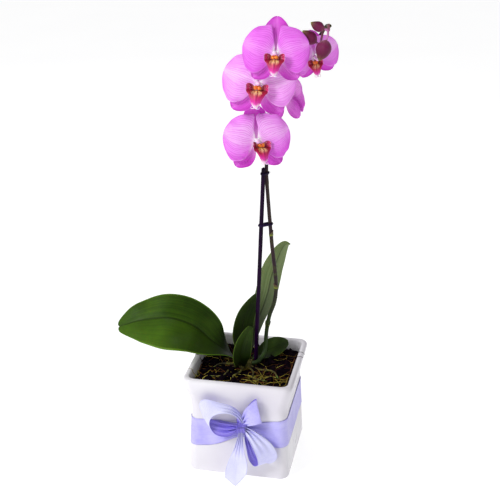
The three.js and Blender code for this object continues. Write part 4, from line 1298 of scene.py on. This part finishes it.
def make_band():
    crumple = Waves(91, 30, 2)

    def at(u, v):
        share = KNOT_SHARE + v
        flat = SQUARE.at(share, 66.0, CORNER, 0)
        near = np.minimum(v, 1 - v) * SQUARE.length  # along the band, from the knot
        gather = np.exp(-((near / 28) ** 2))
        width = RIBBON_WIDTH * (1 - 0.5 * gather)
        lift = gather * RIBBON_WIDTH * 0.14
        z = RIBBON_LOW + RIBBON_WIDTH / 2 + width / 2 * u + lift + RIBBON_SLOPE * flat[..., 0]
        crease = 0.7 * np.exp(-(((near - 24) / 26) ** 2)) * np.exp(-(((u + 0.15 + 0.012 * near) / 0.12) ** 2))
        pleats = 0.9 * gather * (1 + np.cos(5 * np.pi * u))
        lie = 0.45 + 0.2 * (1 + crumple(vec(near, 9 * u))) + crease + pleats
        return SQUARE.at(share, pot_half(z) + lie, CORNER + lie, z)

    skin = Skin()
    skin.both_sides(at, 24, 420, RIBBON_THICKNESS)
    piece = skin.build("ribbon_band_cloth", [SATIN], ["ribbon_band"])


# Each loop's two rims, from the knot, round and back to it: right, out from the pot, up, from the knot.
LOOPS = {
    "left": dict(
        near=[[-1, 6, 3], [-5, 14, 18], [-14, 20, 27], [-27, 21, 25], [-38, 18, 13], [-39, 14, -1],
              [-31, 11, -12], [-17, 9, -14], [-3, 5, -6]],
        far=[[-1, 5, 6], [-3, 7, 22], [-11, 8, 31], [-28, 9, 37], [-46, 9, 39], [-54, 7, 27], [-49, 4, 10],
             [-28, 2, 2], [-3, 3, 1]],
        pleats=3, sides=(1, 0), flat=(0.038, 0.126)),
    "right_upper": dict(
        near=[[0, 5, -1], [9, 10, 5], [19, 12, 9], [26, 10, 11], [24, 6, 11], [13, 4, 7], [1, 3, 0]],
        far=[[-1, 5, 6], [3, 7, 23], [11, 8, 36], [20, 6, 46], [17, 3, 43], [7, 2, 28], [0, 3, 6]],
        pleats=3, sides=(2, 1), flat=(0.038, 0.067)),
    "right_lower": dict(
        near=[[1, 7, -3], [9, 15, -8], [17, 20, -19], [23, 21, -33], [23, 18, -44], [17, 14, -48],
              [11, 11, -43], [7, 9, -28], [3, 7, -12], [1, 5, -4]],
        far=[[2, 5, 0], [14, 8, -1], [29, 10, -8], [41, 9, -20], [46, 8, -33], [42, 6, -43], [33, 4, -48],
             [22, 3, -40], [10, 3, -19], [2, 3, -3]],
        pleats=3, sides=(0, 1), flat=(0.038, 0.117)),
}


def make_loop(name, seed):
    shape = LOOPS[name]
    rumple = Waves(seed, 26, 2)
    near, far = Route(shape["near"]), Route(shape["far"])

    def at(u, v):
        place = (u + 1) / 2
        point = lerp(far.at(v), near.at(v), place[..., None])
        along = unit(lerp(far.along(v, 0.02), near.along(v, 0.02), place[..., None]))
        across = near.at(v) - far.at(v)
        facing = unit(np.cross(along, across))
        ends = np.exp(-((np.minimum(v, 1 - v) / 0.2) ** 2))
        tight = np.exp(-((np.minimum(v, 1 - v) / 0.09) ** 2))
        pleat = (np.cos(np.pi * shape["pleats"] * (u + 0.13)) * ends * 2.8
                 + np.cos(5 * np.pi * u) * tight * 2.9)
        soft = 0.8 * rumple(vec(40 * v, 18 * u)) * (1 - ends)
        cup = 1.0 * (u * u - 0.4) * (1 - ends)
        point = point + facing * (pleat + soft + cup)[..., None]
        return from_knot(point[..., 0], np.maximum(0.8 + 0.1 * abs(point[..., 1]), point[..., 1]),
                         point[..., 2])

    skin = Skin()
    # sides picks the copy for each face: the shining one carries painted light, the shaded one painted shade
    skin.both_sides(at, 48, 100, RIBBON_THICKNESS, shape["sides"])
    piece = skin.build(f"bow_loop_{name}", [SATIN_LIGHT, SATIN_DEEP, SATIN], ["ribbon_bow"])


def make_tail():
    rumple = Waves(95, 30, 2)

    def at(u, v):
        half = 14.5 * lerp(0.16, 1, smooth(v * 1.1))
        out = np.where(v < 0.5, lerp(8, 18, smooth(2 * v)), lerp(18, 25, smooth(2 * v - 1)))
        pleat = 2.2 * np.cos(4 * np.pi * u) * (1 - smooth(v * 1.6))
        drape = 0.9 * np.cos(2.2 * u + 0.6) * v + 0.5 * rumple(vec(50 * v, 15 * u))
        pointed = 1 - (0.2 * abs(u) ** 1.1 + 0.07 * u) * smooth(v)
        return from_knot(-3.5 * v + half * u, out + pleat + drape + 2 * u * v, -73 * v * pointed)

    skin = Skin()
    skin.both_sides(at, 30, 60, RIBBON_THICKNESS)
    piece = skin.build("bow_tail", [SATIN_TAIL_LIT], ["ribbon_bow"])


def make_knot():
    def at(u, v):
        angle = v * 2 * np.pi * 0.985 + 0.4
        pleat = 1 + 0.2 * np.cos(6 * np.pi * u + 0.6 * np.sin(angle)) + 0.05 * np.sin(9 * u + 3 * angle)
        waist = 1 - 0.12 * (1 - u * u)
        high, deep = 7.4 * pleat * waist, 5.6 * pleat * waist
        return from_knot(5.6 * u + 0.8 * np.sin(angle + 0.5), KNOT_RADIUS + deep * np.cos(angle),
                         high * np.sin(angle) + 0.8 * u)

    skin = Skin()
    skin.both_sides(at, 40, 60, RIBBON_THICKNESS)
    # the whole knot takes the copy with painted shade
    piece = skin.build("bow_knot", [SATIN_DEEP], ["ribbon_bow"])


# ---- The whole plant ----

make_pot()
make_bed()
make_chips()
make_strands()
make_roots()
make_crown()
for order, name in enumerate(LEAVES):
    make_leaf(name, 60 + order)
ends = {f"flower_{number}": make_flower(number) for number in range(1, 6)}
ends.update({name: make_bud(name) for name in BUDS})
make_spike(ends)
make_stake()
make_tie("tie_upper", 262.0, 6.5)
make_tie("tie_lower", 195.0, 2.5)
make_band()
make_knot()
for order, name in enumerate(LOOPS):
    make_loop(name, 81 + order)
make_tail()

# ---- Floor, light and camera ----

FLOOR_HALF = 300.0
LIGHTS = (  # name, place, aim, size across and power
    ("key_light", (-1.25, -1.45, 1.75), (0, 0, 0.26), 0.8, 33),
    ("fill_light", (1.3, -1.3, 0.9), (0, 0, 0.3), 1.0, 0.6),
    ("back_light", (-0.4, 1.5, 1.6), (0, 0, 0.4), 1.0, 7),
)
VIEW_TURN, VIEW_RISE, VIEW_ROLL = 11.89, 22.22, -0.48  # degrees
VIEW_DISTANCE = 1.2
VIEW_TARGET = (0.0055, -0.0025, 0.289)
LENS, SENSOR = 70, 36


def make_floor():
    mesh = bpy.data.meshes.new("studio_floor")
    corners = [(x * FLOOR_HALF, y * FLOOR_HALF, 0) for x, y in ((-1, -1), (1, -1), (1, 1), (-1, 1))]
    mesh.from_pydata(corners, [], [(0, 1, 2, 3)])
    look = Look("studio_white", {"Specular IOR Level": 0.05, "Emission Color": (1, 1, 1, 1),
                                 "Emission Strength": 0.75})
    grain = look.grain(3, 2)
    look.finish(look.ramp(grain, [(0.3, (188, 188, 190)), (0.7, (192, 192, 193))]),
                look.ramp(grain, [(0.3, 0.85), (0.7, 0.95)]))
    mesh.materials.append(look.material)
    floor = bpy.data.objects.new("studio_floor", mesh)
    bpy.context.scene.collection.objects.link(floor)


def area_light(name, at, aim, size, power):
    light = bpy.data.lights.new(name, "AREA")
    light.shape = "DISK"
    light.size = size
    light.energy = power
    lamp = bpy.data.objects.new(name, light)
    lamp.location = at
    lamp.rotation_euler = (Vector(aim) - Vector(at)).to_track_quat("-Z", "Y").to_euler()
    bpy.context.scene.collection.objects.link(lamp)


def make_studio():
    world = bpy.data.worlds.new("studio")
    world.use_nodes = True
    tree = world.node_tree
    direction = tree.nodes.new("ShaderNodeTexCoord").outputs["Generated"]
    split = tree.nodes.new("ShaderNodeSeparateXYZ")
    tree.links.new(direction, split.inputs[0])

    def graded(axis, low, high, start, end):
        grade = tree.nodes.new("ShaderNodeMapRange")
        for key, value in (("From Min", low), ("From Max", high), ("To Min", start), ("To Max", end)):
            grade.inputs[key].default_value = value
        tree.links.new(split.outputs[axis], grade.inputs["Value"])
        return grade.outputs[0]

    # white at the horizon; above it, brighter on the left than on the right
    mix = tree.nodes.new("ShaderNodeMix")
    tree.links.new(graded(2, 0.04, 0.25, 0.0, 1.0), mix.inputs["Factor"])
    mix.inputs["A"].default_value = 1.0
    tree.links.new(graded(0, -1.0, 1.0, 0.58, 0.2), mix.inputs["B"])
    tree.links.new(mix.outputs["Result"], tree.nodes["Background"].inputs["Strength"])
    tree.nodes["Background"].inputs["Color"].default_value = (1.0, 1.0, 1.0, 1.0)
    bpy.context.scene.world = world
    bpy.context.scene.view_settings.view_transform = "Standard"
    for light in LIGHTS:
        area_light(*light)


def make_camera():
    azimuth, elevation, roll = (math.radians(x) for x in (VIEW_TURN, VIEW_RISE, VIEW_ROLL))
    level = math.cos(elevation)
    away = Vector((math.sin(azimuth) * level, -math.cos(azimuth) * level, math.sin(elevation)))
    data = bpy.data.cameras.new("camera")
    data.lens, data.sensor_width = LENS, SENSOR
    camera = bpy.data.objects.new("camera", data)
    camera.location = Vector(VIEW_TARGET) + away * VIEW_DISTANCE
    camera.rotation_mode = "QUATERNION"
    camera.rotation_quaternion = (-away).to_track_quat("-Z", "Y") @ Quaternion((0, 0, 1), roll)
    bpy.context.scene.collection.objects.link(camera)
    bpy.context.scene.camera = camera


make_floor()
make_studio()
make_camera()

bpy.context.view_layer.update()
